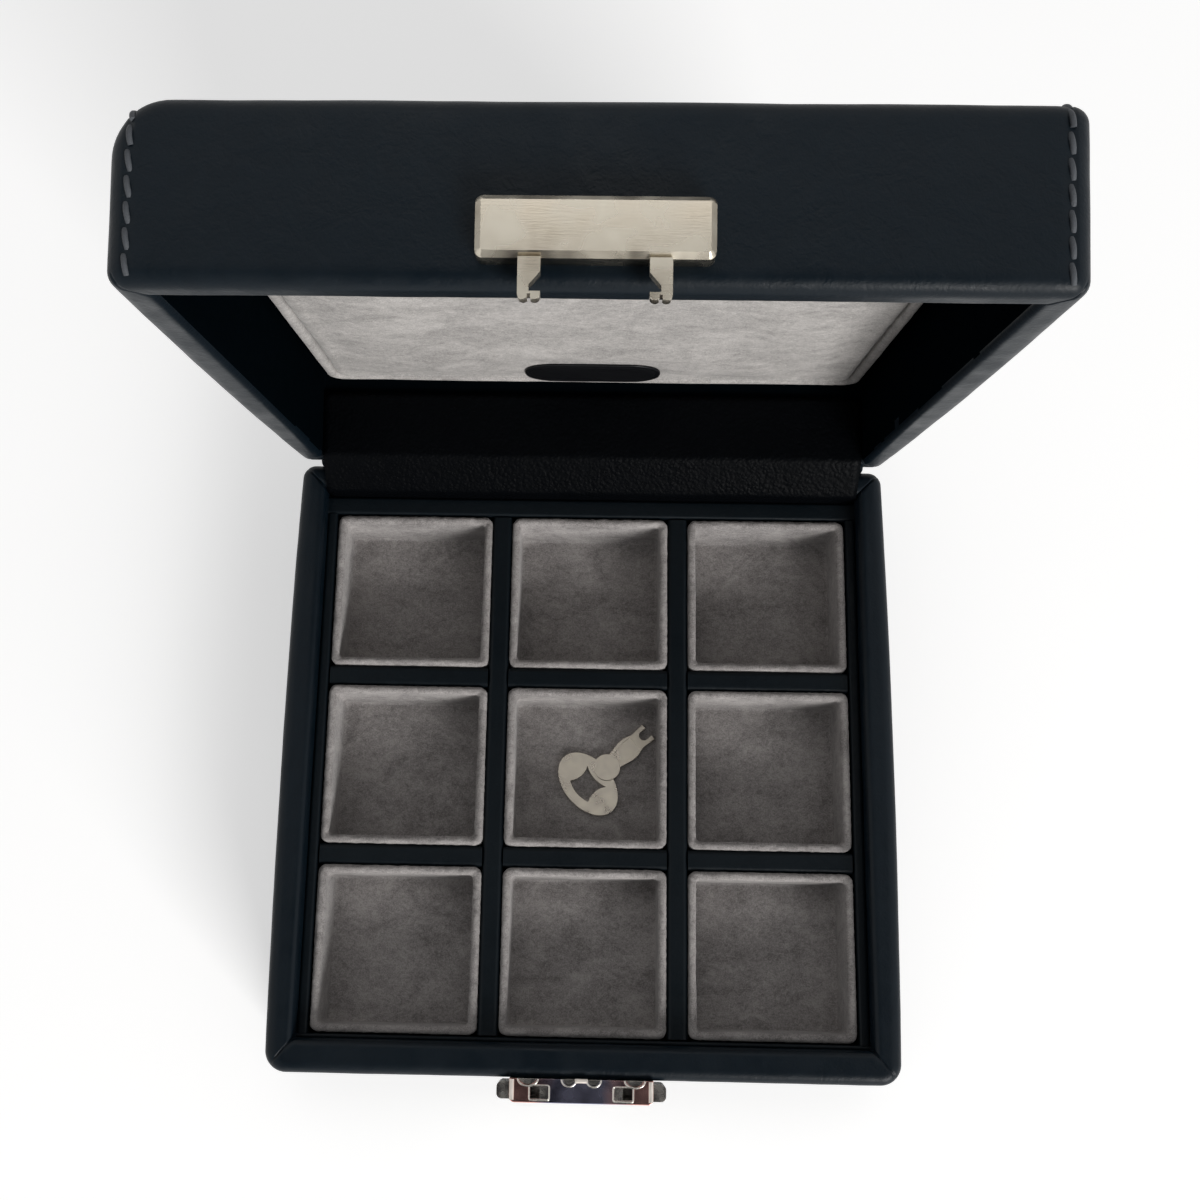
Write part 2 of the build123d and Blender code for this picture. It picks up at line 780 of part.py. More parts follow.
def key():
    """The forked key, one stamping, lying in the middle cup."""
    bow = Ellipse(bow_width / 2, bow_length / 2)
    x, y = star_half
    hollow = star_hollow
    star = make_face(
        Curve()
        + [
            ThreePointArc((x, y), (0, y - hollow), (-x, y)),
            ThreePointArc((-x, y), (-x - star_bulge, 0), (-x, -y)),
            ThreePointArc((-x, -y), (0, -y + hollow), (x, -y)),
            ThreePointArc((x, -y), (x - hollow, 0), (x, y)),
        ]
    )
    root, widest = shank_root_width / 2, shank_width / 2
    crotch, fork = fork_root_width / 2, fork_width / 2
    shank = make_face(
        Polyline(
            (boss_centre, -root),
            (shank_root, -root),
            (shank_shoulder, -widest),
            (shank_waist, -widest),
            (fork_root, -crotch),
            (key_reach, -fork),
            (key_reach, fork),
            (fork_root, crotch),
            (shank_waist, widest),
            (shank_shoulder, widest),
            (shank_root, root),
            (boss_centre, root),
            close=True,
        )
    )
    notch = Pos(key_reach - fork_depth + fork_gap / 2, 0) * Circle(fork_gap / 2)
    notch += Pos(key_reach, 0) * Rectangle(2 * fork_depth - fork_gap, fork_gap)
    body = extrude(bow - star, key_thickness)
    body += extrude(shank - notch, key_thickness)
    body += Pos(boss_centre, 0, 0) * extrude(Circle(boss_radius), boss_thickness)
    panel_end = fork_root - panel_margin
    panel = make_face(
        Polyline(
            (panel_start, -root + panel_margin),
            (panel_shoulder, -widest + panel_margin),
            (panel_end, -widest + panel_margin),
            (panel_end, widest - panel_margin),
            (panel_shoulder, widest - panel_margin),
            (panel_start, root - panel_margin),
            close=True,
        )
    )
    body -= extrude(Pos(0, 0, key_thickness - panel_recess) * panel, 1)
    return Pos(*key_place) * Rot(0, 0, key_angle) * body


def build():
    """Every piece by name."""
    pieces = {
        "base_carcass": base_carcass(),
        "base_cover": base_cover(),
        "underside_felt": underside_felt(),
        "packing_board": packing_board(),
        "hinge_strip": hinge_strip(),
        "spine": spine(),
        "lid_carcass": lid_carcass(),
        "lid_cover": lid_cover(),
        "lid_foam": lid_foam(),
        "lid_pad": lid_pad(),
        "lid_pad_border": lid_pad_border(),
        "label_patch": label_patch(),
        "hasp": hasp(),
        "hasp_prongs": hasp_prongs(),
        "lock_case": lock_case(),
        "lock_backplate": lock_backplate(),
        "left_latch": latch(-1),
        "right_latch": latch(1),
        "left_spring": latch_spring(-1),
        "right_spring": latch_spring(1),
        "lock_cam": lock_cam(),
        "lock_rivets": lock_rivets(),
        "key": key(),
    }
    pieces.update(liners())
    pieces.update(dividers())
    pieces.update(cups())
    return pieces


os.makedirs("parts", exist_ok=True)
for name, piece in build().items():
    export_step(piece, f"parts/{name}.step")
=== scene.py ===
import json
from math import atan2, cos, pi, radians, sin, sqrt

import bmesh
import bpy
from mathutils import Matrix, Vector, noise
from mathutils.bvhtree import BVHTree
from mathutils.kdtree import KDTree

# A leather cufflink box, its lid resting open, seen from above its front edge. Metres.
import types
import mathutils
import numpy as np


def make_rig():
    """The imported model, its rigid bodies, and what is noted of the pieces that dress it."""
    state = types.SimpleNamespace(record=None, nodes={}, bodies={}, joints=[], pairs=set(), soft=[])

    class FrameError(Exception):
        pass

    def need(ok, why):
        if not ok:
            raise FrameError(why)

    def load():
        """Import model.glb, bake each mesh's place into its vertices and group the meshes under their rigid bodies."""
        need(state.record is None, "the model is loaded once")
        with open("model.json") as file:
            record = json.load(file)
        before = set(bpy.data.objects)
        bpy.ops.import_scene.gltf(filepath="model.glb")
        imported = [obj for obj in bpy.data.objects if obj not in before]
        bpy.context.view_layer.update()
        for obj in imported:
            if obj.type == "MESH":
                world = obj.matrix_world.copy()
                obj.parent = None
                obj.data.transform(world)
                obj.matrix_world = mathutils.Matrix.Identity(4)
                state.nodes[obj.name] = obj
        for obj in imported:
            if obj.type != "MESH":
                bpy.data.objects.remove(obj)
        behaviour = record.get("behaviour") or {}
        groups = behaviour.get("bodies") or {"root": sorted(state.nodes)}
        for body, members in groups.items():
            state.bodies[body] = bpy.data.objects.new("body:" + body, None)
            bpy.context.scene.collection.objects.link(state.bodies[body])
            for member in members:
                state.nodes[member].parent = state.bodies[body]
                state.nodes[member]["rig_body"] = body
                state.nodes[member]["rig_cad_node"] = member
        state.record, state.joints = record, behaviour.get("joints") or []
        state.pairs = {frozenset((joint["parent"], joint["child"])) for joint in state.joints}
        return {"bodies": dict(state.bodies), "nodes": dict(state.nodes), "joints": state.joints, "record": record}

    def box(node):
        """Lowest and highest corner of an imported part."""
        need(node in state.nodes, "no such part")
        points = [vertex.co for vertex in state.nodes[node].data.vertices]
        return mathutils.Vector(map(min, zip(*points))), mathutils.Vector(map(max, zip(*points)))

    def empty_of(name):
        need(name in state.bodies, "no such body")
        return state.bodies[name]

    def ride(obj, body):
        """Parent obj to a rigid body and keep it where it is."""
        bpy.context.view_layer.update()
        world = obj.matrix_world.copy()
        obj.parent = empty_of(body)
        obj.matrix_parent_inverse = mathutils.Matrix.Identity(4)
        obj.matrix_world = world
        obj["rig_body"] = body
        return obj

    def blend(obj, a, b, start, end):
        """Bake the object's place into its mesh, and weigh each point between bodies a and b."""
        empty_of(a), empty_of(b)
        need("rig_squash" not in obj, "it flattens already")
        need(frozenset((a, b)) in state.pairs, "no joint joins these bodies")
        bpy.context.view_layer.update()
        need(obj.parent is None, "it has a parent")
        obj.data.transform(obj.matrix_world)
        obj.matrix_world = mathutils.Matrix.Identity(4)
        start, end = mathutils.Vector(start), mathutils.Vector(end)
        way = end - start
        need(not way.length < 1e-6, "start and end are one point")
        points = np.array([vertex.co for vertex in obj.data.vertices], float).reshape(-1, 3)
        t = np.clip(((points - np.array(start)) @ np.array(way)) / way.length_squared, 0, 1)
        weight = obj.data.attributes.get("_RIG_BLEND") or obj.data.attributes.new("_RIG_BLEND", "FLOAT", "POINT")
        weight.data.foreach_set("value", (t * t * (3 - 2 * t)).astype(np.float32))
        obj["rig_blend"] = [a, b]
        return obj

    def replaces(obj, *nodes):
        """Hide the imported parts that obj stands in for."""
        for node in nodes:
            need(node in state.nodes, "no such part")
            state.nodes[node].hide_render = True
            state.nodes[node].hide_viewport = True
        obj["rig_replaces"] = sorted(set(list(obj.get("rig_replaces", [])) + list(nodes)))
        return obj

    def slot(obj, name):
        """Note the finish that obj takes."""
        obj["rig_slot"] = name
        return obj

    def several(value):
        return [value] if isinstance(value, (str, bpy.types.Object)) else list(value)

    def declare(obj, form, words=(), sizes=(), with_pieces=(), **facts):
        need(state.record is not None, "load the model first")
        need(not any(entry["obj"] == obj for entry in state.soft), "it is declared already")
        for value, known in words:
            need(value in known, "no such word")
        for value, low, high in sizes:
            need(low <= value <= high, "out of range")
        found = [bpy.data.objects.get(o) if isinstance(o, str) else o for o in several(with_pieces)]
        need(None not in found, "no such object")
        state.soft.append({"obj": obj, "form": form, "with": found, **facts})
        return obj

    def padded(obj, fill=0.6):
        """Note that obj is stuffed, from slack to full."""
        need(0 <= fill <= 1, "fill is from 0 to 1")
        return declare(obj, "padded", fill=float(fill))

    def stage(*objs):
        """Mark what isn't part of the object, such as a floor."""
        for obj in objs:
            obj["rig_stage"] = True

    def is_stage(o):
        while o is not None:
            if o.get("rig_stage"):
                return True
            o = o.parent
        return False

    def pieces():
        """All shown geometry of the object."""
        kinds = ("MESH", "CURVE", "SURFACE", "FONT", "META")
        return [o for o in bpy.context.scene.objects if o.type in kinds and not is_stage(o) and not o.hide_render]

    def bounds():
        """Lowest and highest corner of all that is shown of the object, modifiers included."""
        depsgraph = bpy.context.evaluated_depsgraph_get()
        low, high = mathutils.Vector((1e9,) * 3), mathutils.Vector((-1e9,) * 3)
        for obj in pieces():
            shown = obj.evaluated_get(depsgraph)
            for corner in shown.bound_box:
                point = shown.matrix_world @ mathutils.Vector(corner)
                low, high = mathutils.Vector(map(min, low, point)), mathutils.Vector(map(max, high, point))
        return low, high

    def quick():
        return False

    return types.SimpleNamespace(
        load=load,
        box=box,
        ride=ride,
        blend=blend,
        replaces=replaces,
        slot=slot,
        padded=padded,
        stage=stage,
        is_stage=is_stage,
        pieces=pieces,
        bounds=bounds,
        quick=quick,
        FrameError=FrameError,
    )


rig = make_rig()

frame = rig.load()
cad_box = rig.bounds()
nodes = frame["nodes"]

mm = 0.001
cover_low, cover_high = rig.box("base_cover")
board_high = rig.box("base_carcass")[1]
packing_low, packing_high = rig.box("packing_board")

half_width = board_high.x
half_depth = cover_high.y
rim_top = cover_high.z
felt_top = cover_low.z
cavity_x = packing_high.x
cavity_y = packing_high.y
cavity_front = packing_low.y
inner_floor = packing_low.z
hinge = next(j for j in frame["joints"] if j["name"] == "lid_hinge")
hinge_y, hinge_z = hinge["pos_m"][1:]
open_turn = radians(80)

leather_thickness = 0.9 * mm
side_bow = 0.9 * mm
front_corner = 5.0 * mm
back_corner = 3.4 * mm
rim_radius = 2.8 * mm
rim_inner_radius = 1.6 * mm
lid_edge_radius = 2.9 * mm
foot = 1.0 * mm
turn_in = 12.0 * mm
turn_in_corner = 3.0 * mm
lid_gap = 2 * (hinge_z - rim_top)
lid_rim = rim_top + lid_gap
lid_height = 30.0 * mm
lid_top = lid_rim + lid_height
roof_board = 4.0 * mm
face_depth = 2.5 * mm  # how much of the pad, from its face, is free to swell
roof = lid_top - leather_thickness - roof_board
stitch_inset = 3.5 * mm
pad_border = 2.5 * mm
claw_x = 9.8 * mm
claw_slot_drop = 3.1 * mm
claw_slot_half = (2.35 * mm, 1.65 * mm)
ears = ((5.8 * mm, 2.6 * mm), (25.0 * mm, 3.9 * mm))  # the spacing and width of each pair

open_lid = (
    Matrix.Translation((0, hinge_y, hinge_z))
    @ Matrix.Rotation(-open_turn, 4, "X")
    @ Matrix.Translation((0, -hinge_y, -hinge_z))
)


# Node trees


def add(tree, kind, inputs=(), **settings):
    """A node with its settings, its inputs set or linked."""
    made = tree.nodes.new(kind)
    for name, value in settings.items():
        setattr(made, name, value)
    for name, value in dict(inputs).items():
        if isinstance(value, bpy.types.NodeSocket):
            tree.links.new(value, made.inputs[name])
        else:
            made.inputs[name].default_value = value
    return made


def finish(name, colour, roughness, **sockets):
    """A material whose shader has these plain values."""
    made = bpy.data.materials.new(name)
    made.use_nodes = True
    shader = made.node_tree.nodes["Principled BSDF"]
    shader.inputs["Base Color"].default_value = (*colour, 1)
    shader.inputs["Roughness"].default_value = roughness
    for socket, value in sockets.items():
        shader.inputs[socket.replace("_", " ").title().replace("Ior", "IOR")].default_value = value
    return made, made.node_tree, shader


def wire(tree, shader, **sockets):
    """Links what other nodes give to a shader's sockets."""
    for name, value in sockets.items():
        tree.links.new(value, shader.inputs[name.replace("_", " ")])


def maths(tree, operation, *values):
    """The result of a sum on plain or linked values."""
    return add(tree, "ShaderNodeMath", dict(enumerate(values)), operation=operation).outputs[0]


def place_in(tree, stretch=(1, 1, 1)):
    """A piece's own coordinates in millimetres, stretched."""
    source = add(tree, "ShaderNodeTexCoord").outputs["Object"]
    scale = [1000 * share for share in stretch]
    return add(tree, "ShaderNodeMapping", {"Vector": source, "Scale": scale}).outputs[0]


def cloud(tree, place, size, detail=3.0, distortion=0.0, rough=0.5):
    """Soft noise with patches of a size in millimetres."""
    inputs = {
        "Vector": place,
        "Scale": 1 / size,
        "Detail": detail,
        "Distortion": distortion,
        "Roughness": rough,
    }
    return add(tree, "ShaderNodeTexNoise", inputs).outputs["Fac"]


def pebble(tree, place, size):
    """Rounded cells of a size in millimetres."""
    inputs = {"Vector": place, "Scale": 1 / size, "Smoothness": 0.6, "Randomness": 1.0}
    return add(tree, "ShaderNodeTexVoronoi", inputs, feature="SMOOTH_F1").outputs["Distance"]


def spread(tree, value, low, high, start=0.3, end=0.7):
    """A noise value carried to a range."""
    inputs = {"Value": value, "From Min": start, "From Max": end, "To Min": low, "To Max": high}
    return add(tree, "ShaderNodeMapRange", inputs).outputs[0]


def blend_colour(tree, share, first, second):
    """One colour turning into another; the second may come from other nodes."""
    if not isinstance(second, bpy.types.NodeSocket):
        second = (*second, 1)
    inputs = {0: share, 6: (*first, 1), 7: second}
    return add(tree, "ShaderNodeMix", inputs, data_type="RGBA").outputs[2]


def relief(tree, height, depth, below=None):
    """Bump of a depth in millimetres over another bump."""
    inputs = {"Height": height, "Distance": depth * mm, "Strength": 1.0}
    if below:
        inputs["Normal"] = below
    return add(tree, "ShaderNodeBump", inputs).outputs["Normal"]


# Finishes


def leather(
    name, colour, roughness, grain_size=0.55, grain_depth=0.02, crease_depth=0.10, shine=0.2
):
    """Blue-black leather with a fine pebbled grain and a soft sheen."""
    made, tree, shader = finish(name, colour, roughness, specular_ior_level=shine)
    place = place_in(tree)
    drift = add(tree, "ShaderNodeTexNoise", {"Vector": place, "Scale": 0.7, "Detail": 2.0})
    push = {0: drift.outputs["Color"], "Scale": 0.9}
    warp = add(tree, "ShaderNodeVectorMath", push, operation="SCALE")
    bent = add(tree, "ShaderNodeVectorMath", {0: place, 1: warp.outputs[0]}, operation="ADD")
    grain = pebble(tree, bent.outputs[0], grain_size)
    creases = cloud(tree, place, 3.2, detail=5.0, distortion=0.8, rough=0.65)
    sheen = cloud(tree, place, 9.0, detail=4.0, rough=0.6)
    paler = [1.5 * c + 0.0004 for c in colour]
    wire(
        tree,
        shader,
        Roughness=spread(tree, sheen, roughness - 0.06, roughness + 0.10),
        Base_Color=blend_colour(tree, creases, colour, paler),
        Normal=relief(tree, grain, -grain_depth, relief(tree, creases, crease_depth)),
    )
    return made


def suede(name, dark, light, nap=0.08):
    """Grey suede: soft brushed patches, tufts of short fibres and a soft bloom."""
    made, tree, shader = finish(
        name, light, 0.95, specular_ior_level=0.1, sheen_weight=0.2, sheen_roughness=0.5
    )
    place = place_in(tree)
    patches = cloud(tree, place_in(tree, (0.7, 1, 1)), 8.0, detail=4.0, distortion=1.0)
    tufts = cloud(tree, place_in(tree, (0.8, 1, 1)), 1.2, detail=5.0, distortion=0.6, rough=0.8)
    fibres = cloud(tree, place, 0.32, detail=2.0, rough=0.8)
    mottle = maths(tree, "MULTIPLY_ADD", patches, 0.7, tufts)
    share = spread(tree, maths(tree, "ADD", mottle, fibres), 0, 1, 1.08, 1.62)
    bumps = relief(tree, fibres, nap, relief(tree, tufts, 0.14))
    wire(tree, shader, Base_Color=blend_colour(tree, share, dark, light), Normal=bumps)
    return made


def metal(name, colour, roughness, cloud_size=2.5, tint=None, ease=0.0, scratch=0.003):
    """Plated metal: clouds in its polish, fine brushing and, if asked, eased edges."""
    made, tree, shader = finish(name, colour, roughness, metallic=1.0)
    place = place_in(tree)
    haze = cloud(tree, place, cloud_size, detail=1.0, distortion=0.3, rough=0.4)
    brush = cloud(tree, place_in(tree, (0.12, 1.5, 1.5)), 0.35, detail=2.0)
    tint = tint or [0.85 * c for c in colour]
    share = spread(tree, haze, 0, 1, 0.25, 0.75)
    edge = None
    if ease:
        edge = add(tree, "ShaderNodeBevel", {"Radius": ease * mm}, samples=6).outputs[0]
    wire(
        tree,
        shader,
        Roughness=spread(tree, haze, roughness - 0.05, roughness + 0.08),
        Base_Color=blend_colour(tree, share, tint, colour),
        Normal=relief(tree, brush, scratch, edge),
    )
    return made


def painted_reflection_plating(name, colour, ends, middle, roughness):
    """Polished plating; on its top a painted reflection, the middle in another tint than the ends."""
    made, tree, shader = finish(name, colour, roughness, metallic=1.0)
    place = place_in(tree)
    haze = cloud(tree, place, 5.0, detail=1.0, distortion=0.3, rough=0.4)
    across, _, up = add(tree, "ShaderNodeSeparateXYZ", {0: place}).outputs
    drift = maths(tree, "MULTIPLY_ADD", haze, 7.0, maths(tree, "ABSOLUTE", across))
    # painted reflection: the top face tinted as if mirroring a dark room, bluish in the middle and reddish at the ends
    reflected_tint = blend_colour(tree, spread(tree, drift, 0, 1, 9.5, 14.5), middle, ends)
    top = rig.box("lock_case")[1].z / mm
    share = spread(tree, up, 0, 1, top - 0.5, top - 0.2)
    dull = spread(tree, haze, roughness - 0.04, roughness + 0.06)
    wire(tree, shader, Base_Color=blend_colour(tree, share, colour, reflected_tint), Roughness=dull)
    return made


def plain_board(name, colour, fibre):
    """Pressed board or felt: matt, flecked with short fibres."""
    made, tree, shader = finish(name, colour, 0.95, specular_ior_level=0.15)
    place = place_in(tree)
    flecks = cloud(tree, place, fibre, detail=5.0, distortion=1.2, rough=0.75)
    mixed = blend_colour(tree, flecks, [0.6 * c for c in colour], colour)
    wire(tree, shader, Base_Color=mixed, Normal=relief(tree, flecks, 0.15))
    return made


def thread(name, colour):
    """Waxed thread with a twist across each stitch."""
    made, tree, shader = finish(name, colour, 0.6, specular_ior_level=0.35)
    twist = cloud(tree, place_in(tree), 0.25, detail=2.0)
    mixed = blend_colour(tree, twist, [0.6 * c for c in colour], colour)
    wire(tree, shader, Base_Color=mixed, Normal=relief(tree, twist, 0.08))
    return made


outer_leather = leather("outer_leather", (0.0018, 0.0048, 0.0080), 0.40, shine=0.16)
# a darker, unshining copy of the leather: painted shade for the lid's inner walls
lining_leather = leather("lining_leather", (0.0007, 0.0017, 0.0026), 0.50, shine=0.0)
inner_leather = leather(
    "inner_leather",
    (0.0022, 0.0044, 0.0064),
    0.42,
    grain_size=0.7,
    crease_depth=0.12,
    shine=0.12,
)
strip_leather = leather(
    "strip_leather",
    (0.0008, 0.0011, 0.0016),
    0.42,
    grain_size=0.9,
    grain_depth=0.14,
    crease_depth=0.16,
    shine=0.03,
)
label_leather = leather(
    "label_leather", (0.0040, 0.0042, 0.0050), 0.35, grain_size=0.6, crease_depth=0.05
)
pad_suede = suede("pad_suede", dark=(0.25, 0.238, 0.230), light=(0.565, 0.54, 0.52))
# the cups' suede is a darker copy of the pad's suede: painted shade of the cups' hollows
cup_suede = suede("cup_suede", dark=(0.18, 0.168, 0.165), light=(0.44, 0.415, 0.405))
satin_nickel = metal(
    "satin_nickel", (0.60, 0.555, 0.465), 0.24, cloud_size=4.5, tint=(0.46, 0.41, 0.33)
)
# the lock case's plating, with a painted reflection on its top
bright_nickel = painted_reflection_plating(
    "bright_nickel",
    (0.64, 0.61, 0.57),
    ends=(0.78, 0.44, 0.39),
    middle=(0.30, 0.30, 0.41),
    roughness=0.22,
)
edge_nickel = metal("edge_nickel", (0.70, 0.65, 0.60), 0.5)
pale_nickel = metal("pale_nickel", (0.66, 0.63, 0.58), 0.22)
key_steel = metal(
    "key_steel",
    (0.72, 0.66, 0.55),
    0.32,
    cloud_size=3.0,
    tint=(0.60, 0.54, 0.46),
    ease=0.14,
    scratch=0.0006,
)
spring_steel = metal("spring_steel", (0.45, 0.45, 0.46), 0.30)
hardboard = plain_board("hardboard", (0.20, 0.14, 0.09), 1.2)
black_felt = plain_board("black_felt", (0.020, 0.021, 0.024), 0.6)
grey_thread = thread("grey_thread", (0.085, 0.093, 0.105))


# Mesh helpers


def linked(name, data):
    """A new object in the scene, at the origin."""
    made = bpy.data.objects.new(name, data)
    bpy.context.scene.collection.objects.link(made)
    return made


def piece(name, mesh, material, smooth=True):
    """A new object with one material."""
    made = linked(name, mesh)
    mesh.materials.clear()
    mesh.materials.append(material)
    for polygon in mesh.polygons:
        polygon.use_smooth = smooth
    return made


def mesh_from(built, name):
    """A mesh from a working one, which is freed."""
    mesh = bpy.data.meshes.new(name)
    built.to_mesh(mesh)
    built.free()
    return mesh


def mesh_of(name, points, faces):
    """A mesh with its doubles merged and its faces pointing outwards."""
    built = bmesh.new()
    verts = [built.verts.new(p) for p in points]
    for face in faces:
        if len(set(face)) == len(face):
            built.faces.new([verts[i] for i in face])
    bmesh.ops.remove_doubles(built, verts=built.verts, dist=0.002 * mm)
    bmesh.ops.dissolve_degenerate(built, edges=built.edges, dist=0.002 * mm)
    bmesh.ops.recalc_face_normals(built, faces=built.faces)
    return mesh_from(built, name)


def bridge(rings, close_last=False, loop=True, first=None):
    """Points and faces of a skin through rings of equal length.

    A point given as first closes the first ring.
    """
    count = len(rings[0])
    points = [p for ring in rings for p in ring]
    faces = []
    for r in range(len(rings) - 1):
        for i in range(count if loop else count - 1):
            j = (i + 1) % count
            faces.append(
                (r * count + i, r * count + j, (r + 1) * count + j, (r + 1) * count + i)
            )
    if close_last:
        middle = len(points)
        last = rings[-1]
        points.append(sum((Vector(p) for p in last), Vector()) / count)
        base = (len(rings) - 1) * count
        faces += [(base + i, base + (i + 1) % count, middle) for i in range(count)]
    if first:
        points.append(first)
        faces += [((i + 1) % count, i, len(points) - 1) for i in range(count)]
    return points, faces


def final_mesh(obj):
    """A plain mesh of what the object and its modifiers give."""
    bpy.context.view_layer.update()
    seen = obj.evaluated_get(bpy.context.evaluated_depsgraph_get())
    return bpy.data.meshes.new_from_object(seen)


def baked(obj):
    """The object with its modifiers worked into its mesh."""
    mesh = final_mesh(obj)
    obj.modifiers.clear()
    obj.data = mesh
    for polygon in mesh.polygons:
        polygon.use_smooth = True
    return obj


def thicken(obj, thickness):
    """A wall grown inwards from the object's skin."""
    wall = obj.modifiers.new("wall", "SOLIDIFY")
    wall.thickness = thickness
    wall.offset = -1
    wall.use_even_offset = False
    return baked(obj)


def finder_of(places):
    """A search tree over places, each found by its number."""
    made = KDTree(len(places))
    for i, place in enumerate(places):
        made.insert(place, i)
    made.balance()
    return made


def raise_skin(mesh, height, count=None):
    """Moves a skin, or its first points, along its normals by a height set by the place."""
    normals = [vert.normal.copy() for vert in mesh.vertices[:count]]
    for vert, normal in zip(mesh.vertices, normals):
        vert.co += normal * height(vert.co)
    mesh.update()


def ripple(mesh, fine, coarse, seed, keep=None):
    """Small unevenness of hand-glued covering, along the normals."""
    shift = Vector((seed * 13.1, seed * 7.7, seed * 3.3))

    def height(place):
        share = keep(place) if keep else 1.0
        near = noise.noise(place * 160 + shift)
        return share * mm * (fine * near + coarse * noise.noise(place * 38 + shift))

    raise_skin(mesh, height)


def outline(x, near, far, radii, bow, z, sides=48, corner=20, crowd=0.0):
    """A rounded rectangle between two depths, its sides swollen, as one ring of points.

    With a crowd, the points of its sides lie closer near the corners.
    """
    corners = ((1, near, 1, radii[0]), (1, far, -1, radii[1]), (-1, far, -1, radii[1]))
    corners += ((-1, near, 1, radii[0]),)
    middles = [Vector((right * (x - r), y + inward * r, z)) for right, y, inward, r in corners]
    points = []
    for i, (_, _, _, radius) in enumerate(corners):
        for step in range(corner + 1):
            turn = radians(90 * (i - 1 + step / corner))
            points.append(middles[i] + radius * Vector((cos(turn), sin(turn), 0)))
        turn = radians(90 * i)
        following = (i + 1) % 4
        target = middles[following] + corners[following][3] * Vector((cos(turn), sin(turn), 0))
        first = points[-1].copy()
        for step in range(1, sides):
            share = step / sides - crowd * sin(2 * pi * step / sides) / (2 * pi)
            points.append(first.lerp(target, share))
    for point in points:
        point.x += bow * (1 - (point.y / far) ** 2) * (point.x / x) ** 3
    return points


def outer_ring(inset, z, front_radius=back_corner):
    """The box's outside, drawn in by an inset."""
    radii = [max(radius - inset, 0.4 * mm) for radius in (front_radius, back_corner)]
    x, y = half_width - inset, half_depth - inset
    return outline(x, -y, y, radii, side_bow, z, crowd=0.7)


def inner_ring(outset, z, near=-cavity_y):
    """The straight-walled cavity, widened by an outset."""
    x, radius = cavity_x + outset, 0.4 * mm
    return outline(x, near - outset, cavity_y + outset, (radius, radius), 0, z, crowd=0.7)


def base_outside(inset, z):
    """The base's outside, with its rounder front corners."""
    return outer_ring(inset, z, front_corner)


def base_inside(outset, z):
    """The base's cavity, behind its thicker front wall."""
    return inner_ring(outset, z, cavity_front)


def arc(steps, first=0.0, last=90.0):
    """Sines and cosines along an arc."""
    turns = [radians(first + (last - first) * i / steps) for i in range(steps + 1)]
    return [(sin(t), cos(t)) for t in turns]


# Leather covers


def rim_rings(level, away, outside, inside):
    """Rings over a rim: round its outer edge, across it and round its inner edge."""
    rings = []
    for across, up in arc(8):
        rings.append(outside(rim_radius * (1 - up), level - away * rim_radius * (1 - across)))
    flat_out, flat_in = outside(rim_radius, level), inside(rim_inner_radius, level)
    for share in (0.25, 0.5, 0.75):
        rings.append([a.lerp(b, share) for a, b in zip(flat_out, flat_in)])
    for across, up in arc(6):
        z = level - away * rim_inner_radius * (1 - up)
        rings.append(inside(rim_inner_radius * (1 - across), z))
    return rings


def mitre(point, near):
    """How near a point lies to one of the diagonal folds of the rim's corners."""
    x = (abs(point.x) - cavity_x) / (half_width - cavity_x)
    if point.y > 0:
        y = (point.y - cavity_y) / (half_depth - cavity_y)
    else:
        y = (near - point.y) / (near + half_depth)
    if min(x, y) < -0.1:
        return 0.0
    return max(0.0, 1 - 16 * abs(x - y))


def fold_corners(mesh, level, near, count):
    """The leather's folds across the four corners of a rim, in the skin's first points."""
    deepest, fade = 0.45 * mm, 2.4 * mm

    def depth(place):
        close = max(0.0, 1 - abs(place.z - level) / fade)
        return -deepest * mitre(place, near) * min(1.0, 2 * close)

    raise_skin(mesh, depth, count)


def draw_in(mesh, level):
    """The rim drawn in by as much as its unevenness, so that shut rims only touch."""
    depth, fade = 0.15 * mm, 3 * mm
    raise_skin(mesh, lambda p: -depth * max(0.0, 1 - abs(p.z - level) / fade))


def cover_base():
    """The leather over the base, from its underside over the rim and down inside."""
    x, y = half_width - turn_in, half_depth - turn_in
    rings = [outline(x, -y, y, (turn_in_corner, turn_in_corner), 0, felt_top)]
    rings += [base_outside(inset * mm, felt_top) for inset in (8, 4, 2)]
    rings += [
        base_outside(foot * (1 - across), felt_top + foot * (1 - up)) for across, up in arc(5)
    ]
    low, high = felt_top + foot, rim_top - rim_radius
    rings += [base_outside(0, low + (high - low) * i / 12) for i in range(1, 12)]
    rings += rim_rings(rim_top, 1, base_outside, base_inside)
    low, high = inner_floor, rim_top - rim_inner_radius
    rings += [base_inside(0, high + (low - high) * i / 10) for i in range(1, 11)]
    made = piece("leather_base", mesh_of("leather_base", *bridge(rings)), outer_leather)
    ripple(made.data, fine=0.05, coarse=0.10, seed=1)
    draw_in(made.data, rim_top)
    skin = len(made.data.vertices)
    thicken(made, leather_thickness)
    fold_corners(made.data, rim_top, cavity_front, skin)
    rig.replaces(made, "base_cover")
    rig.slot(made, "leather")
    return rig.ride(made, "base")


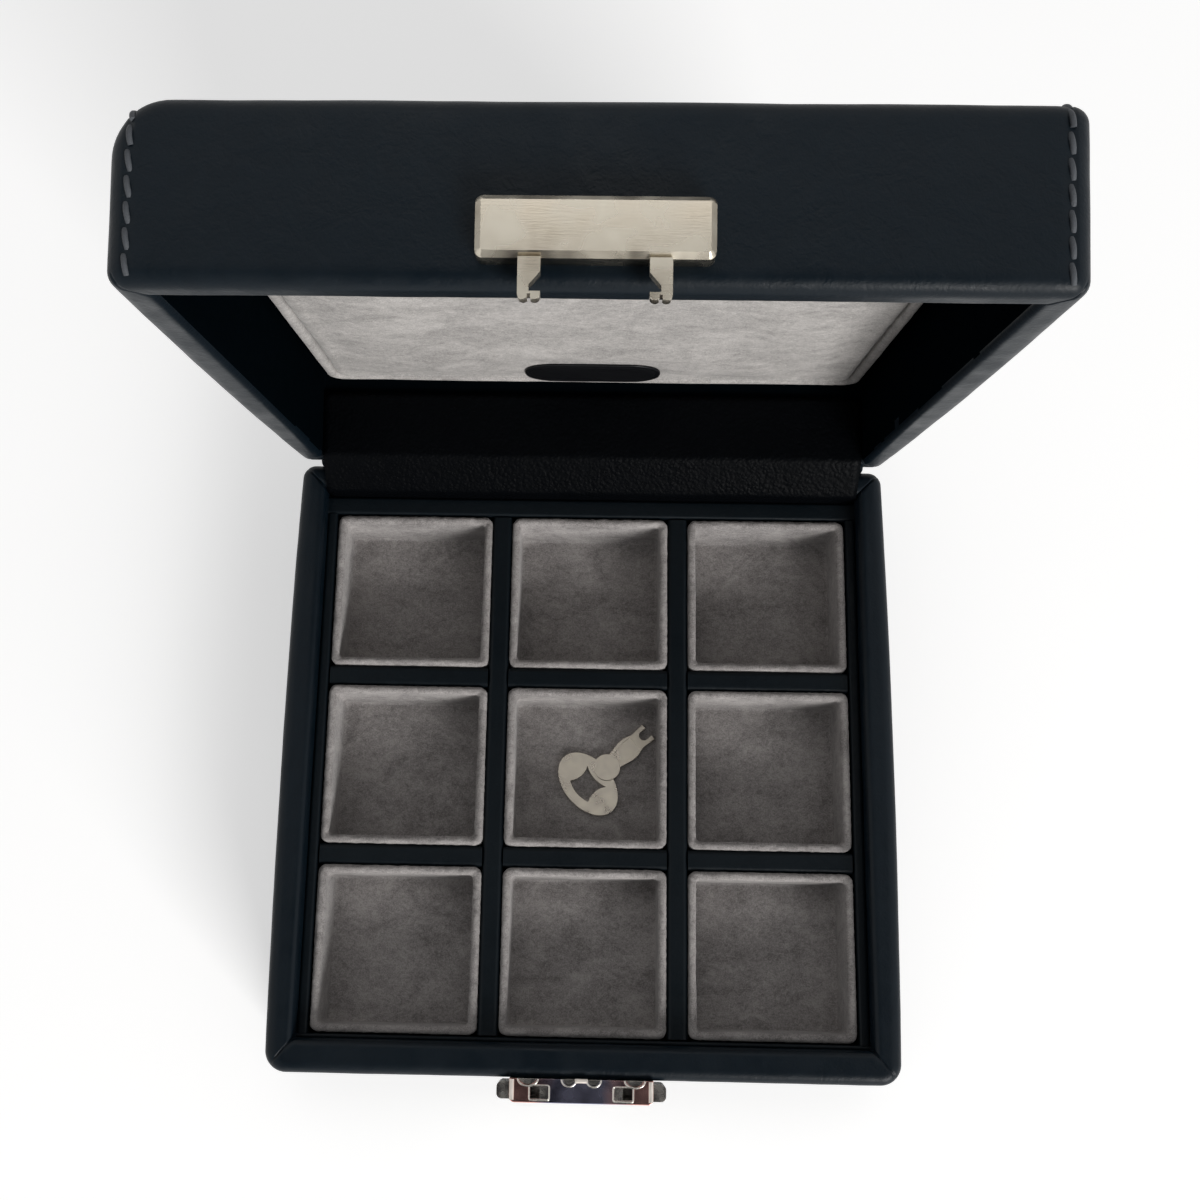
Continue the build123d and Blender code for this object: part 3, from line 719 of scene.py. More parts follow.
def slump(point):
    """The lid's left front top corner, worn rounder than the others."""
    worn, sharp, fade = 9.5 * mm, lid_edge_radius, 45 * mm
    if point.x > -cavity_x - 1 * mm and point.z < roof + 1 * mm:
        return
    away = Vector((point.x + half_width - worn, lid_top - point.z - worn))
    near = max(0.0, min(1.0, 1 - (point.y + half_depth) / fade))
    if away.x >= 0 or away.y >= 0 or near == 0:
        return
    way = away.normalized()
    edge = worn / max(-way.x, -way.y)
    if max(worn + edge * way.x, worn + edge * way.y) < sharp:
        lead, lean = worn - sharp, (worn - sharp) * (way.x + way.y)
        edge = -lean + sqrt(max(0.0, lean**2 - 2 * lead**2 + sharp**2))
    away *= 1 + (worn / edge - 1) * near**2 * (3 - 2 * near)
    point.x, point.z = away.x + worn - half_width, lid_top - worn - away.y


def stitch_path(side, surface):
    """The path of a row of stitches up the lid's front, along its top and down its back.

    Each point is where a ray from outside meets the leather.
    """
    x = side * (half_width - stitch_inset)
    inset, away, closest = 7 * mm, 4 * mm, 0.3 * mm
    top, front_end, back_end = lid_top - inset, 35.5 * mm, 45 * mm
    front = -half_depth + inset
    rays = []
    for i in range(40):
        z = front_end + (top - front_end) * i / 40
        rays.append((Vector((x, -half_depth - away, z)), Vector((0, 1, 0))))

    def around(y, turns):
        for across, up in turns:
            out = Vector((0, across, up))
            rays.append((Vector((x, y, top)) + out * (inset + away), -out))

    around(front, arc(24, -90, 0))
    for i in range(1, 200):
        place = Vector((x, front - 2 * front * i / 200, lid_top + away))
        rays.append((place, Vector((0, 0, -1))))
    around(-front, arc(24))
    for i in range(25):
        z = top + (back_end - top) * i / 24
        rays.append((Vector((x, half_depth + away, z)), Vector((0, -1, 0))))
    path = []
    for origin, way in rays:
        place, normal, _, _ = surface.ray_cast(origin, way)
        if place and (not path or (place - path[-1][0]).length > closest):
            path.append((place, normal))
    return path


def cover_lid():
    """The leather over the lid, drawn shut; returns it with its two rows of stitches."""
    low, high = lid_rim + rim_inner_radius, roof
    rings = [inner_ring(0, high + (low - high) * i / 12) for i in range(12)]
    rings += list(reversed(rim_rings(lid_rim, -1, outer_ring, inner_ring)))
    low, high = lid_rim + rim_radius, lid_top - lid_edge_radius
    rings += [outer_ring(0, low + (high - low) * i / 24) for i in range(1, 25)]
    for across, up in arc(12)[1:]:
        z = lid_top - lid_edge_radius * (1 - across)
        rings.append(outer_ring(lid_edge_radius * (1 - up), z))
    for inset in (3.4, 4, 4.6, 5.2, 5.8, 6.4, 7, 10, 15, 22, 30, 40, 50, 60, 68, 73):
        rings.append(outer_ring(inset * mm, lid_top))
    mesh = mesh_of("leather_lid", *bridge(rings, close_last=True))
    made = piece("leather_lid", mesh, outer_leather)
    ripple(mesh, fine=0.05, coarse=0.10, seed=2)
    draw_in(mesh, lid_rim)
    for vert in mesh.vertices:
        slump(vert.co)
    surface = BVHTree.FromPolygons(
        [v.co for v in mesh.vertices], [p.vertices for p in mesh.polygons]
    )
    rows = [stitch_path(side, surface) for side in (-1, 1)]
    finder = finder_of([place for place, _ in rows[0] + rows[1]])
    groove, width = 0.22 * mm, 0.9 * mm
    raise_skin(mesh, lambda p: -groove * max(0.0, 1 - (finder.find(p)[2] / width) ** 2))
    skin = len(mesh.vertices)
    thicken(made, leather_thickness)
    fold_corners(made.data, lid_rim, -cavity_y, skin)
    # the lid's inner walls take the darker copy of the leather, as painted shade
    made.data.materials.append(lining_leather)
    for polygon in made.data.polygons:
        x, y, z = polygon.center
        if max(abs(x) - cavity_x, abs(y) - cavity_y) < 0.1 * mm and z < roof:
            polygon.material_index = 1
    made.data.transform(open_lid)
    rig.replaces(made, "lid_cover")
    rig.slot(made, "leather")
    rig.ride(made, "lid")
    return rows


# Stitches


def stitch_shape(tree, given):
    """One stitch: a cord that arches up between its two ends, sunk in the leather."""
    half = maths(tree, "MULTIPLY", given["Length"], 0.5)
    back = maths(tree, "MULTIPLY", given["Length"], -0.5)
    sunk = maths(tree, "MULTIPLY", given["Width"], -0.5)
    radius = maths(tree, "MULTIPLY", given["Width"], 0.5)
    bend = {
        "Resolution": 8,
        "Start": add(tree, "ShaderNodeCombineXYZ", {"X": back, "Z": sunk}).outputs[0],
        "Middle": add(tree, "ShaderNodeCombineXYZ", {"Z": given["Height"]}).outputs[0],
        "End": add(tree, "ShaderNodeCombineXYZ", {"X": half, "Z": sunk}).outputs[0],
    }
    circle = {"Resolution": 10, "Radius": radius}
    sweep = {
        "Curve": add(tree, "GeometryNodeCurveQuadraticBezier", bend).outputs[0],
        "Profile Curve": add(tree, "GeometryNodeCurvePrimitiveCircle", circle).outputs[0],
        "Fill Caps": True,
    }
    cord = add(tree, "GeometryNodeCurveToMesh", sweep).outputs[0]
    return add(tree, "GeometryNodeSetShadeSmooth", {0: cord}).outputs[0]


def stitch_turn(tree, given):
    """How a stitch is turned: along its path, facing out, and slanted a little unevenly."""
    along = add(tree, "GeometryNodeInputTangent").outputs[0]
    out = add(
        tree, "GeometryNodeInputNamedAttribute", {"Name": "out"}, data_type="FLOAT_VECTOR"
    ).outputs[0]
    align = "FunctionNodeAlignRotationToVector"
    turned = add(tree, align, {"Vector": along}, axis="X").outputs[0]
    facing = {"Rotation": turned, "Vector": out}
    faced = add(tree, align, facing, axis="Z", pivot_axis="X").outputs[0]
    limits = {"Min": -0.06, "Max": 0.06, "Seed": given["Seed"]}
    jitter = add(tree, "FunctionNodeRandomValue", limits, data_type="FLOAT").outputs[1]
    lean = maths(tree, "ADD", given["Slant"], jitter)
    angles = add(tree, "ShaderNodeCombineXYZ", {"Z": lean}).outputs[0]
    slanted = add(tree, "FunctionNodeEulerToRotation", {0: angles}).outputs[0]
    both = {"Rotation": faced, 1: slanted}
    return add(tree, "FunctionNodeRotateRotation", both, rotation_space="LOCAL").outputs[0]


def stitch_tree():
    """Nodes that lay one stitch at each step along a path."""
    tree = bpy.data.node_groups.new("stitches", "GeometryNodeTree")
    make = tree.interface.new_socket

    def takes(name, kind, value=None):
        socket = make(name, in_out="INPUT", socket_type="NodeSocket" + kind)
        if value is not None:
            socket.default_value = value

    takes("Geometry", "Geometry")
    for name, size in (("Pitch", 4.0), ("Length", 3.1), ("Width", 0.95), ("Height", 0.55)):
        takes(name, "Float", size * mm)
    takes("Slant", "Float", radians(8))
    takes("Seed", "Int", 3)
    takes("Thread", "Material")
    make("Geometry", in_out="OUTPUT", socket_type="NodeSocketGeometry")
    given = add(tree, "NodeGroupInput").outputs
    path = add(tree, "GeometryNodeMeshToCurve", {"Mesh": given["Geometry"]}).outputs[0]
    pace = {"Curve": path, "Length": given["Pitch"]}
    laying = {
        "Points": add(tree, "GeometryNodeResampleCurve", pace, mode="LENGTH").outputs[0],
        "Instance": stitch_shape(tree, given),
        "Rotation": stitch_turn(tree, given),
    }
    placed = add(tree, "GeometryNodeInstanceOnPoints", laying).outputs[0]
    real = add(tree, "GeometryNodeRealizeInstances", {0: placed}).outputs[0]
    finished = {"Geometry": real, "Material": given["Thread"]}
    dressed = add(tree, "GeometryNodeSetMaterial", finished).outputs[0]
    add(tree, "NodeGroupOutput", {"Geometry": dressed})
    return tree


def sew(rows, body):
    """Stitches along the two rows of the lid."""
    mesh = bpy.data.meshes.new("stitches")
    points, edges, normals = [], [], []
    for row in rows:
        start = len(points)
        points += [open_lid @ place for place, _ in row]
        normals += [open_lid.to_3x3() @ normal for _, normal in row]
        edges += [(start + i, start + i + 1) for i in range(len(row) - 1)]
    mesh.from_pydata(points, edges, [])
    out = mesh.attributes.new("out", "FLOAT_VECTOR", "POINT")
    for i, normal in enumerate(normals):
        out.data[i].vector = normal
    made = linked("lid_stitches", mesh)
    work = made.modifiers.new("stitches", "NODES")
    work.node_group = stitch_tree()
    for item in work.node_group.interface.items_tree:
        if item.in_out == "INPUT" and item.name == "Thread":
            work[item.identifier] = grey_thread
    baked(made)
    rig.slot(made, "leather")
    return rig.ride(made, body)


# Cups


def cup_rings(x, y, low, high):
    """Rings from under a cup up its outside, over its lip, down inside and across its floor."""
    wall, seat, corner, lip = 2.0 * mm, low + 2.0 * mm, 2.0 * mm, 0.95 * mm
    foot_edge, floor_edge = 0.6 * mm, 0.7 * mm

    def ring(inset, z, radius):
        depth = y - inset
        return outline(x - inset, -depth, depth, (radius, radius), 0, z, sides=52, corner=6)

    rings = [ring(i * mm, low, r * mm) for i, r in ((15, 1), (8, 1.5), (1, 1.7))]
    for i in range(7):
        z = low + foot_edge + (high - lip - low - foot_edge) * i / 6
        rings.append(ring(0, z, corner))
    for across, up in arc(5)[1:]:
        rings.append(ring(lip * (1 - up), high - lip * (1 - across), corner - lip * (1 - up)))
    for across, up in arc(5)[1:]:
        inset = lip + (wall - lip) * across
        rings.append(ring(inset, high - lip * (1 - up), 1.1 * mm))
    for i in range(1, 9):
        z = high - lip + (seat + floor_edge - high + lip) * i / 8
        rings.append(ring(wall, z, 1.0 * mm))
    for across, up in arc(4)[1:]:
        z = seat + floor_edge * (1 - across)
        rings.append(ring(wall + floor_edge * (1 - up), z, 0.9 * mm))
    for inset in (3.6, 5.5, 8, 11, 14, 17):
        rings.append(ring(inset * mm, seat, 0.8 * mm))
    return rings


def line_cup(name, seed):
    """A card cup covered in suede, with soft edges and slightly wavering walls."""
    low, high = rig.box(name)
    middle = (low + high) / 2
    x, y = (high.x - low.x) / 2, (high.y - low.y) / 2
    place = Vector((middle.x, middle.y, 0))
    rings = [[p + place for p in ring] for ring in cup_rings(x, y, low.z, high.z)]
    under = Vector((middle.x, middle.y, low.z))
    mesh = mesh_of(name, *bridge(rings, close_last=True, first=under))
    # the cup takes the darker suede, painted shade of its hollow
    made = piece("suede_" + name, mesh, cup_suede)

    def inside(p):
        past = max(abs(p.x - middle.x) - x, abs(p.y - middle.y) - y)
        return 1.0 if past < -0.5 * mm else 0.3

    def fuzz(p):
        share = max(0.0, 1 - (high.z - p.z) / (3 * mm))
        return 0.22 * mm * share * noise.noise(p * 1100 + Vector((seed, 0, 0)))

    ripple(made.data, fine=0.10, coarse=0.22, seed=seed, keep=inside)
    raise_skin(made.data, fuzz)
    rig.replaces(made, name)
    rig.slot(made, "suede")
    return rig.ride(made, "base")


# Pad inside the lid


def ring_around(x, y, radius, z):
    """One ring of the pad."""
    return outline(x, -y, y, (radius, radius), 0, z, sides=64, corner=8)


def shut_box(name):
    """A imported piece's lowest and highest corners in the shut lid."""
    shut = open_lid.inverted()
    points = [shut @ v.co for v in nodes[name].data.vertices]
    low = Vector([min(p[i] for p in points) for i in range(3)])
    return low, Vector([max(p[i] for p in points) for i in range(3)])


def swelling(mesh, level):
    """Where pressure from inside moves an even copy of the pad, and how far: a cloth simulation."""
    frames = 20
    made = piece("swelling", mesh.copy(), pad_suede)
    even = made.modifiers.new("even", "REMESH")
    even.mode = "VOXEL"
    even.voxel_size = 4 * mm
    baked(made)
    start = [vert.co.copy() for vert in made.data.vertices]
    held = made.vertex_groups.new(name="held")
    behind = [i for i, place in enumerate(start) if place.z > level + face_depth]
    held.add(behind, 1.0, "REPLACE")
    cloth = made.modifiers.new("cloth", "CLOTH")
    cloth.settings.vertex_group_mass = "held"
    cloth.settings.use_pressure = True
    cloth.settings.uniform_pressure_force = 4
    cloth.settings.effector_weights.gravity = 0
    cloth.point_cache.frame_end = frames
    for step in range(1, frames + 1):
        bpy.context.scene.frame_set(step)
    end = [vert.co.copy() for vert in baked(made).data.vertices]
    bpy.context.scene.frame_set(1)
    bpy.data.objects.remove(made)
    return start, [after - before for before, after in zip(start, end)]


def puff_out(mesh, level, most):
    """The pad's skin moved as the even copy moved, by no more than a given amount.

    The label holds the skin down under it and close to it.
    """
    sideways, held_round = 0.15 * mm, 9 * mm
    low, high = shut_box("label_patch")
    start, moves = swelling(mesh, level)
    finder = finder_of(start)
    shifts = []
    for vert in mesh.vertices:
        near = finder.find_n(vert.co, 6)
        weights = [1 / (distance + 0.5 * mm) for _, _, distance in near]
        total = sum((moves[i] * w for (_, i, _), w in zip(near, weights)), Vector())
        shifts.append(total / sum(weights))
    for vert, shift in zip(mesh.vertices, shifts):
        if vert.co.z < level + face_depth:
            vert.co.x += max(-sideways, min(sideways, shift.x))
            vert.co.y += max(-sideways, min(sideways, shift.y))
            x, y, _ = vert.co
            past = max(low.x - x, x - high.x, low.y - y, y - high.y)
            free = max(0.0, min(1.0, past / held_round))
            vert.co.z += free * max(-most, min(most, shift.z))
    mesh.update()


def stuff_pad():
    """The suede pad: crowned towards the open side, rolled over at its edges."""
    level = shut_box("lid_pad")[0].z
    x, y, _ = shut_box("lid_pad_border")[1]
    fit, slope, roll, crown = 0.2 * mm, 2.6 * mm, 1.6 * mm, 0.25 * mm
    corner, face_corner, waist = 2 * mm, 1.5 * mm, level + 1.2 * mm
    crown_reach = 25
    x, y = x - pad_border - fit, y - pad_border - fit
    rings = [ring_around(x - inset * mm, y - inset * mm, corner, roof) for inset in (30, 0.5)]
    for share in (0.3, 0.6, 0.9):
        rings.append(ring_around(x, y, corner, roof + (waist - roof) * share))
    for across, up in arc(8):
        inset = slope * (1 - up)
        rings.append(ring_around(x - inset, y - inset, corner, level + roll * (1 - across)))
    for inset in (3.5, 5, 7, 10, 14, 19, crown_reach, 32, 40, 48, 55, 60):
        z = level - crown * min(1.0, inset / crown_reach) + crown
        rings.append(ring_around(x - inset * mm, y - inset * mm, face_corner, z))
    mesh = mesh_of("suede_pad", *bridge(rings, close_last=True))
    made = piece("suede_pad", mesh, pad_suede)
    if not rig.quick():
        puff_out(mesh, level, most=0.8 * mm)
    ripple(mesh, fine=0.06, coarse=0.22, seed=5)
    mesh.transform(open_lid)
    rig.padded(made, fill=0.8)
    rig.replaces(made, "lid_pad", "lid_foam")
    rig.slot(made, "suede")
    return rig.ride(made, "lid")


def border_pad():
    """The rolled suede border round the pad."""
    low, high = shut_box("lid_pad_border")
    x, y, edge = high.x, high.y, low.z
    corner, inner_corner, roll, flatness = 4.5 * mm, 2 * mm, pad_border / 2, 0.9
    waist = edge + 6 * mm
    rings = [ring_around(x, y, corner, z) for z in (roof, waist)]
    for across, up in arc(12, 0, 180):
        inset = roll * (1 - up)
        z = edge + roll * (1 - across) * flatness
        rings.append(ring_around(x - inset, y - inset, corner - inset, z))
    for z in (waist, roof):
        rings.append(ring_around(x - pad_border, y - pad_border, inner_corner, z))
    rings.append(rings[0])
    mesh = mesh_of("suede_border", *bridge(rings))
    made = piece("suede_border", mesh, pad_suede)
    ripple(mesh, fine=0.06, coarse=0.15, seed=7)
    mesh.transform(open_lid)
    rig.replaces(made, "lid_pad_border")
    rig.slot(made, "suede")
    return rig.ride(made, "lid")


# Leather hinge


def on_lid(forward, up):
    """Where a point of the shut lid, measured from the hinge, lies in YZ."""
    y = hinge_y - forward * cos(open_turn) + up * sin(open_turn)
    z = hinge_z + forward * sin(open_turn) + up * cos(open_turn)
    return y, z


def strip_line(radius, low, reach):
    """The inner strip's profile from the base's wall over both rims to the lid's wall."""
    wall = half_depth - cavity_y
    base_round = (cavity_y + rim_inner_radius, rim_top - rim_inner_radius)
    lid_round = on_lid(wall - rim_inner_radius, rim_inner_radius + lid_gap / 2)
    taut = atan2(lid_round[1] - base_round[1], lid_round[0] - base_round[0]) + pi / 2
    lid_turn = pi - open_turn
    end = on_lid(wall - rim_inner_radius + radius, reach)
    first = [(base_round[0] - radius, low + (base_round[1] - low) * i / 8) for i in range(8)]

    def bend(centre, start, stop, steps=5):
        turns = [start + (stop - start) * i / steps for i in range(steps + 1)]
        return [(centre[0] + radius * cos(t), centre[1] + radius * sin(t)) for t in turns]

    over_base = bend(base_round, pi, taut)
    over_lid = bend(lid_round, taut, lid_turn)
    a, b = Vector(over_base[-1]), Vector(over_lid[0])
    chord = [tuple(a.lerp(b, i / 8)) for i in range(1, 8)]
    c, d = Vector(over_lid[-1]), Vector(end)
    last = [tuple(c.lerp(d, i / 10)) for i in range(1, 11)]
    return first + over_base + chord + over_lid + last


def bend_at_hinge(made, below, above):
    """A strip that follows the base below the hinge and the lid above it."""
    start, end = (0, hinge_y, hinge_z - below), (0, hinge_y, hinge_z + above)
    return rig.blend(made, "base", "lid", start, end)


def lay_strip():
    """The inner leather strip, taut over the rims, with rounded lower corners."""
    low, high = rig.box("hinge_strip")
    reach = 17.0 * mm
    line = strip_line(rim_inner_radius + leather_thickness, low.z, reach)
    columns, corner, skiving = 90, 4.0 * mm, 0.92
    rows = []
    for i in range(columns + 1):
        x = low.x + (high.x - low.x) * i / columns
        edge = min(x - low.x, high.x - x)
        lift = corner - sqrt(max(0.0, corner**2 - (corner - edge) ** 2)) if edge < corner else 0.0
        rows.append([Vector((x, y, max(z, low.z + lift))) for y, z in line])
    mesh = mesh_of("leather_strip", *bridge(rows, loop=False))
    made = piece("leather_strip", mesh, strip_leather)
    ripple(mesh, fine=0.05, coarse=0.16, seed=9)
    if sum(p.normal.y for p in mesh.polygons) > 0:
        mesh.flip_normals()
    thicken(made, leather_thickness * skiving)
    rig.replaces(made, "hinge_strip")
    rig.slot(made, "leather")
    return bend_at_hinge(made, 5 * mm, 9 * mm)


def lay_spine():
    """The outer leather strip across the back, folded at the hinge."""
    low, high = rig.box("spine")
    thick, ease, skiving = 0.8 * mm, 0.3 * mm, 0.95
    reach = hinge_z - low.z
    line = [(hinge_y + thick, low.z + (hinge_z - low.z) * i / 8) for i in range(8)]
    fold = thick * (1 - cos(open_turn)) / sin(open_turn)
    line[-1] = (hinge_y + thick, hinge_z - fold - ease)
    line += [on_lid(-thick, fold + ease)]
    line += [on_lid(-thick, reach * i / 8) for i in range(2, 9)]
    columns = 60
    rows = [
        [Vector((low.x + (high.x - low.x) * i / columns, y, z)) for y, z in line]
        for i in range(columns + 1)
    ]
    mesh = mesh_of("leather_spine", *bridge(rows, loop=False))
    made = piece("leather_spine", mesh, outer_leather)
    if sum(p.normal.y for p in mesh.polygons) < 0:
        mesh.flip_normals()
    thicken(made, thick * skiving)
    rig.replaces(made, "spine")
    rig.slot(made, "leather")
    return bend_at_hinge(made, 2 * mm, 2 * mm)


# Label


def label():
    """The bare leather label with a tooled line round it."""
    low, high = shut_box("label_patch")
    x, y = (high.x - low.x) / 2, (high.y - low.y) / 2
    middle = (low.y + high.y) / 2
    shoulder, fullness = 9.0 * mm, 0.9

    def ring(inset, z):
        row = []
        for right, back in ((1, -1), (1, 1), (-1, 1), (-1, -1)):
            for i in range(25):
                share = i / 24
                if right * back > 0:
                    share = 1 - share
                t = share * pi / 2
                px = shoulder + (x - shoulder - inset) * sin(t)
                py = (y - inset) * cos(t) ** fullness if t < pi / 2 - 1e-6 else 0.0
                row.append(Vector((right * px, back * py + middle, z)))
        return row

    top, tooled = low.z, low.z + 0.14 * mm
    rings = [ring(0, high.z), ring(0, top + 0.2 * mm), ring(0.1 * mm, top + 0.06 * mm)]
    face = ((0.3, top), (1.0, top), (1.15, tooled), (1.35, tooled), (1.5, top), (3, top))
    rings += [ring(inset * mm, z) for inset, z in face]
    mesh = mesh_of("label", *bridge(rings, close_last=True))
    made = piece("leather_label", mesh, label_leather)
    mesh.transform(open_lid)
    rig.replaces(made, "label_patch")
    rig.slot(made, "leather")
    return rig.ride(made, "lid")


# Felt


def lay_felt():
    """The felt under the base."""
    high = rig.box("underside_felt")[1]
    felt_inset = half_depth - high.y
    bow = high.x - half_width + felt_inset
    x, y, edge = half_width - felt_inset, high.y, 0.25 * mm
    radii = (front_corner - felt_inset, back_corner - felt_inset)
    rings = []
    steps = ((0.3, felt_top), (0, felt_top - edge), (0, edge), (0.3, 0), (6, 0), (20, 0), (40, 0))
    for inset, z in (*steps, (60, 0)):
        depth = y - inset * mm
        rings.append(outline(x - inset * mm, -depth, depth, radii, bow, z))
    middle = Vector((0, 0, felt_top))
    mesh = mesh_of("felt", *bridge(rings, close_last=True, first=middle))
    made = piece("felt", mesh, black_felt)
    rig.replaces(made, "underside_felt")
    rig.slot(made, "felt")
    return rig.ride(made, "base")


# Metal fittings


def merged(node):
    """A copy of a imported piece's mesh, its doubled points merged."""
    built = bmesh.new()
    built.from_mesh(nodes[node].data)
    bmesh.ops.remove_doubles(built, verts=built.verts, dist=0.001 * mm)
    return built


def polish(node, body, slot, material, width, rounded=None):
    """A packed metal piece with its edges eased; chosen edges are rounded further first."""
    built = merged(node)
    bmesh.ops.dissolve_limit(
        built, angle_limit=radians(1.5), verts=built.verts, edges=built.edges
    )
    if rounded:
        edges = [edge for edge in built.edges if rounded(edge)]
        bmesh.ops.bevel(
            built, geom=edges, offset=0.55 * mm, segments=4, profile=0.5, affect="EDGES"
        )
    made = piece("eased_" + node, mesh_from(built, "eased_" + node), material)
    edge = made.modifiers.new("edge", "BEVEL")
    edge.width = width
    edge.segments = 2
    edge.limit_method = "ANGLE"
    edge.angle_limit = radians(35)
    edge.harden_normals = True
    even = made.modifiers.new("even", "WEIGHTED_NORMAL")
    even.keep_sharp = True
    baked(made)
    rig.replaces(made, node)
    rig.slot(made, slot)
    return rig.ride(made, body)


def folded_end(edge):
    """An edge across one end of the lock case's top."""
    low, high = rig.box("lock_case")
    near = 0.05 * mm
    return all(v.co.z > high.z - near and abs(v.co.x) > high.x - near for v in edge.verts)


def bead(name, paths, radius, material, flatness=1.0):
    """Beads along paths of points, each a path and whether it closes."""
    data = bpy.data.curves.new(name, "CURVE")
    data.dimensions = "3D"
    data.bevel_depth = radius
    data.bevel_resolution = 2
    data.use_fill_caps = True
    for path, closed in paths:
        line = data.splines.new("POLY")
        line.points.add(len(path) - 1)
        line.use_cyclic_u = closed
        for point, place in zip(line.points, path):
            point.co = (*place, 1)
    drawn = linked(name, data)
    mesh = final_mesh(drawn)
    bpy.data.objects.remove(drawn)
    level = paths[0][0][0].z
    for vert in mesh.vertices:
        vert.co.z = level + flatness * (vert.co.z - level)
    made = piece(name, mesh, material)
    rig.slot(made, "bright_nickel")
    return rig.ride(made, "base")


def lock_lips():
    """Raised lips round the slots and ears on the lock's top; its folded ends and bridge."""
    low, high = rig.box("lock_case")
    z, slot_y, corner = high.z + 0.02 * mm, high.y - claw_slot_drop, 0.5 * mm
    half_x, half_y = claw_slot_half
    slot = outline(half_x, -half_y, half_y, (corner, corner), 0, z, sides=4, corner=5)
    paths = [([p + Vector((x, slot_y, 0)) for p in slot], True) for x in (-claw_x, claw_x)]
    for spacing, width in ears:
        half, depth = width / 2 + 0.45 * mm, 1.65 * mm
        for middle in (-spacing / 2, spacing / 2):
            half_oval = [
                Vector((middle + half * up, high.y - depth * across, z))
                for across, up in arc(12, 0, 180)
            ]
            paths.append((half_oval, False))
    bead("lock_lips", paths, 0.22 * mm, pale_nickel)
    end_x, bridge_x = high.x - 0.6 * mm, 1.5 * mm
    front, back, bridge_y = low.y + 0.6 * mm, high.y - 0.2 * mm, high.y - 0.3 * mm
    folds = [([Vector((x, y, z)) for y in (front, back)], False) for x in (-end_x, end_x)]
    folds.append(([Vector((x, bridge_y, z)) for x in (-bridge_x, bridge_x)], False))
    bead("lock_folds", folds, 0.55 * mm, edge_nickel, flatness=0.45)


def dress(name, material):
    """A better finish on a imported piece."""
    slots = nodes[name].data.materials
    slots.clear()
    slots.append(material)


def lid_board():
    """The lid's board, its worn corner following the leather."""
    mesh = mesh_from(merged("lid_carcass"), "board_lid")
    mesh.transform(open_lid.inverted())
    for vert in mesh.vertices:
        slump(vert.co)
    mesh.transform(open_lid)
    made = piece("board_lid", mesh, hardboard, smooth=False)
    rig.replaces(made, "lid_carcass")
    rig.slot(made, "board")
    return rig.ride(made, "lid")


def coil(side):
    """A spring between the middle post and a latch, shorter as its button goes in."""
    node = side + "_spring"
    low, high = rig.box(node)
    still, driven = sorted((low.x, high.x), key=abs)
    mesh = mesh_from(merged(node), "coil_" + side)
    made = piece("coil_" + side, mesh, spring_steel, smooth=False)
    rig.replaces(made, node)
    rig.slot(made, "plain_steel")
    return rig.blend(made, "base", side + "_latch", (still, low.y, low.z), (driven, low.y, low.z))


kept = {
    "base_carcass": hardboard,
    "packing_board": hardboard,
    "hasp_prongs": spring_steel,
    "lock_rivets": spring_steel,
    "key": key_steel,
}
for name, material in kept.items():
    dress(name, material)
for name in nodes:
    if name.startswith(("divider", "liner")):
        dress(name, inner_leather)

polish("hasp", "lid", "satin_nickel", satin_nickel, 0.18 * mm)
polish("lock_case", "base", "bright_nickel", bright_nickel, 0.12 * mm, folded_end)
polish("lock_backplate", "base", "bright_nickel", pale_nickel, 0.05 * mm)
for side in ("left", "right"):
    polish(side + "_latch", side + "_latch", "bright_nickel", pale_nickel, 0.12 * mm)
    coil(side)
polish("lock_cam", "lock_cam", "plain_steel", spring_steel, 0.08 * mm)
lock_lips()
lid_board()
cover_base()
sew(cover_lid(), "lid")
for order, name in enumerate(sorted(n for n in nodes if n.startswith("cup_"))):
    line_cup(name, 20 + order)
stuff_pad()
border_pad()
label()
lay_strip()
lay_spine()
lay_felt()


# Stage


def shows(tree):
    """One for the rays that see the background: the camera's, a mirror's and a glass's."""
    path = add(tree, "ShaderNodeLightPath").outputs
    seen = maths(tree, "MAXIMUM", path["Is Camera Ray"], path["Is Glossy Ray"])
    return maths(tree, "MAXIMUM", seen, path["Is Transmission Ray"])


def flat(name, corners, material):
    """A flat sheet of the stage."""
    mesh = bpy.data.meshes.new(name)
    mesh.from_pydata(corners, [], [(0, 1, 2, 3)])
    made = linked(name, mesh)
    mesh.materials.append(material)
    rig.stage(made)
    return made


def floor():
    """A pale floor that shows as white and keeps the object's shadow."""
    reach = 6.0
    corners = [(-reach, -reach, 0), (reach, -reach, 0), (reach, reach, 0), (-reach, reach, 0)]
    pale = (0.80, 0.80, 0.80)
    material, tree, shader = finish("floor_white", pale, 0.9, specular_ior_level=0.0)
    lift = maths(tree, "MULTIPLY", shows(tree), 0.48)
    glow = add(tree, "ShaderNodeEmission", {"Strength": lift}).outputs[0]
    both = add(tree, "ShaderNodeAddShader", {0: shader.outputs[0], 1: glow}).outputs[0]
    tree.links.new(both, tree.nodes["Material Output"].inputs["Surface"])
    flat("floor", corners, material)


def dark_card(name, near, far):
    """A dark card that only the polished pieces mirror.

    Near and far are the depth and height of its two long edges.
    """
    half = 0.4
    corners = [(-half, *near), (half, *near), (half, *far), (-half, *far)]
    material = finish(name, (0.03, 0.03, 0.035), 1.0, specular_ior_level=0.0)[0]
    made = flat(name, corners, material)
    made.visible_camera = made.visible_diffuse = made.visible_shadow = False


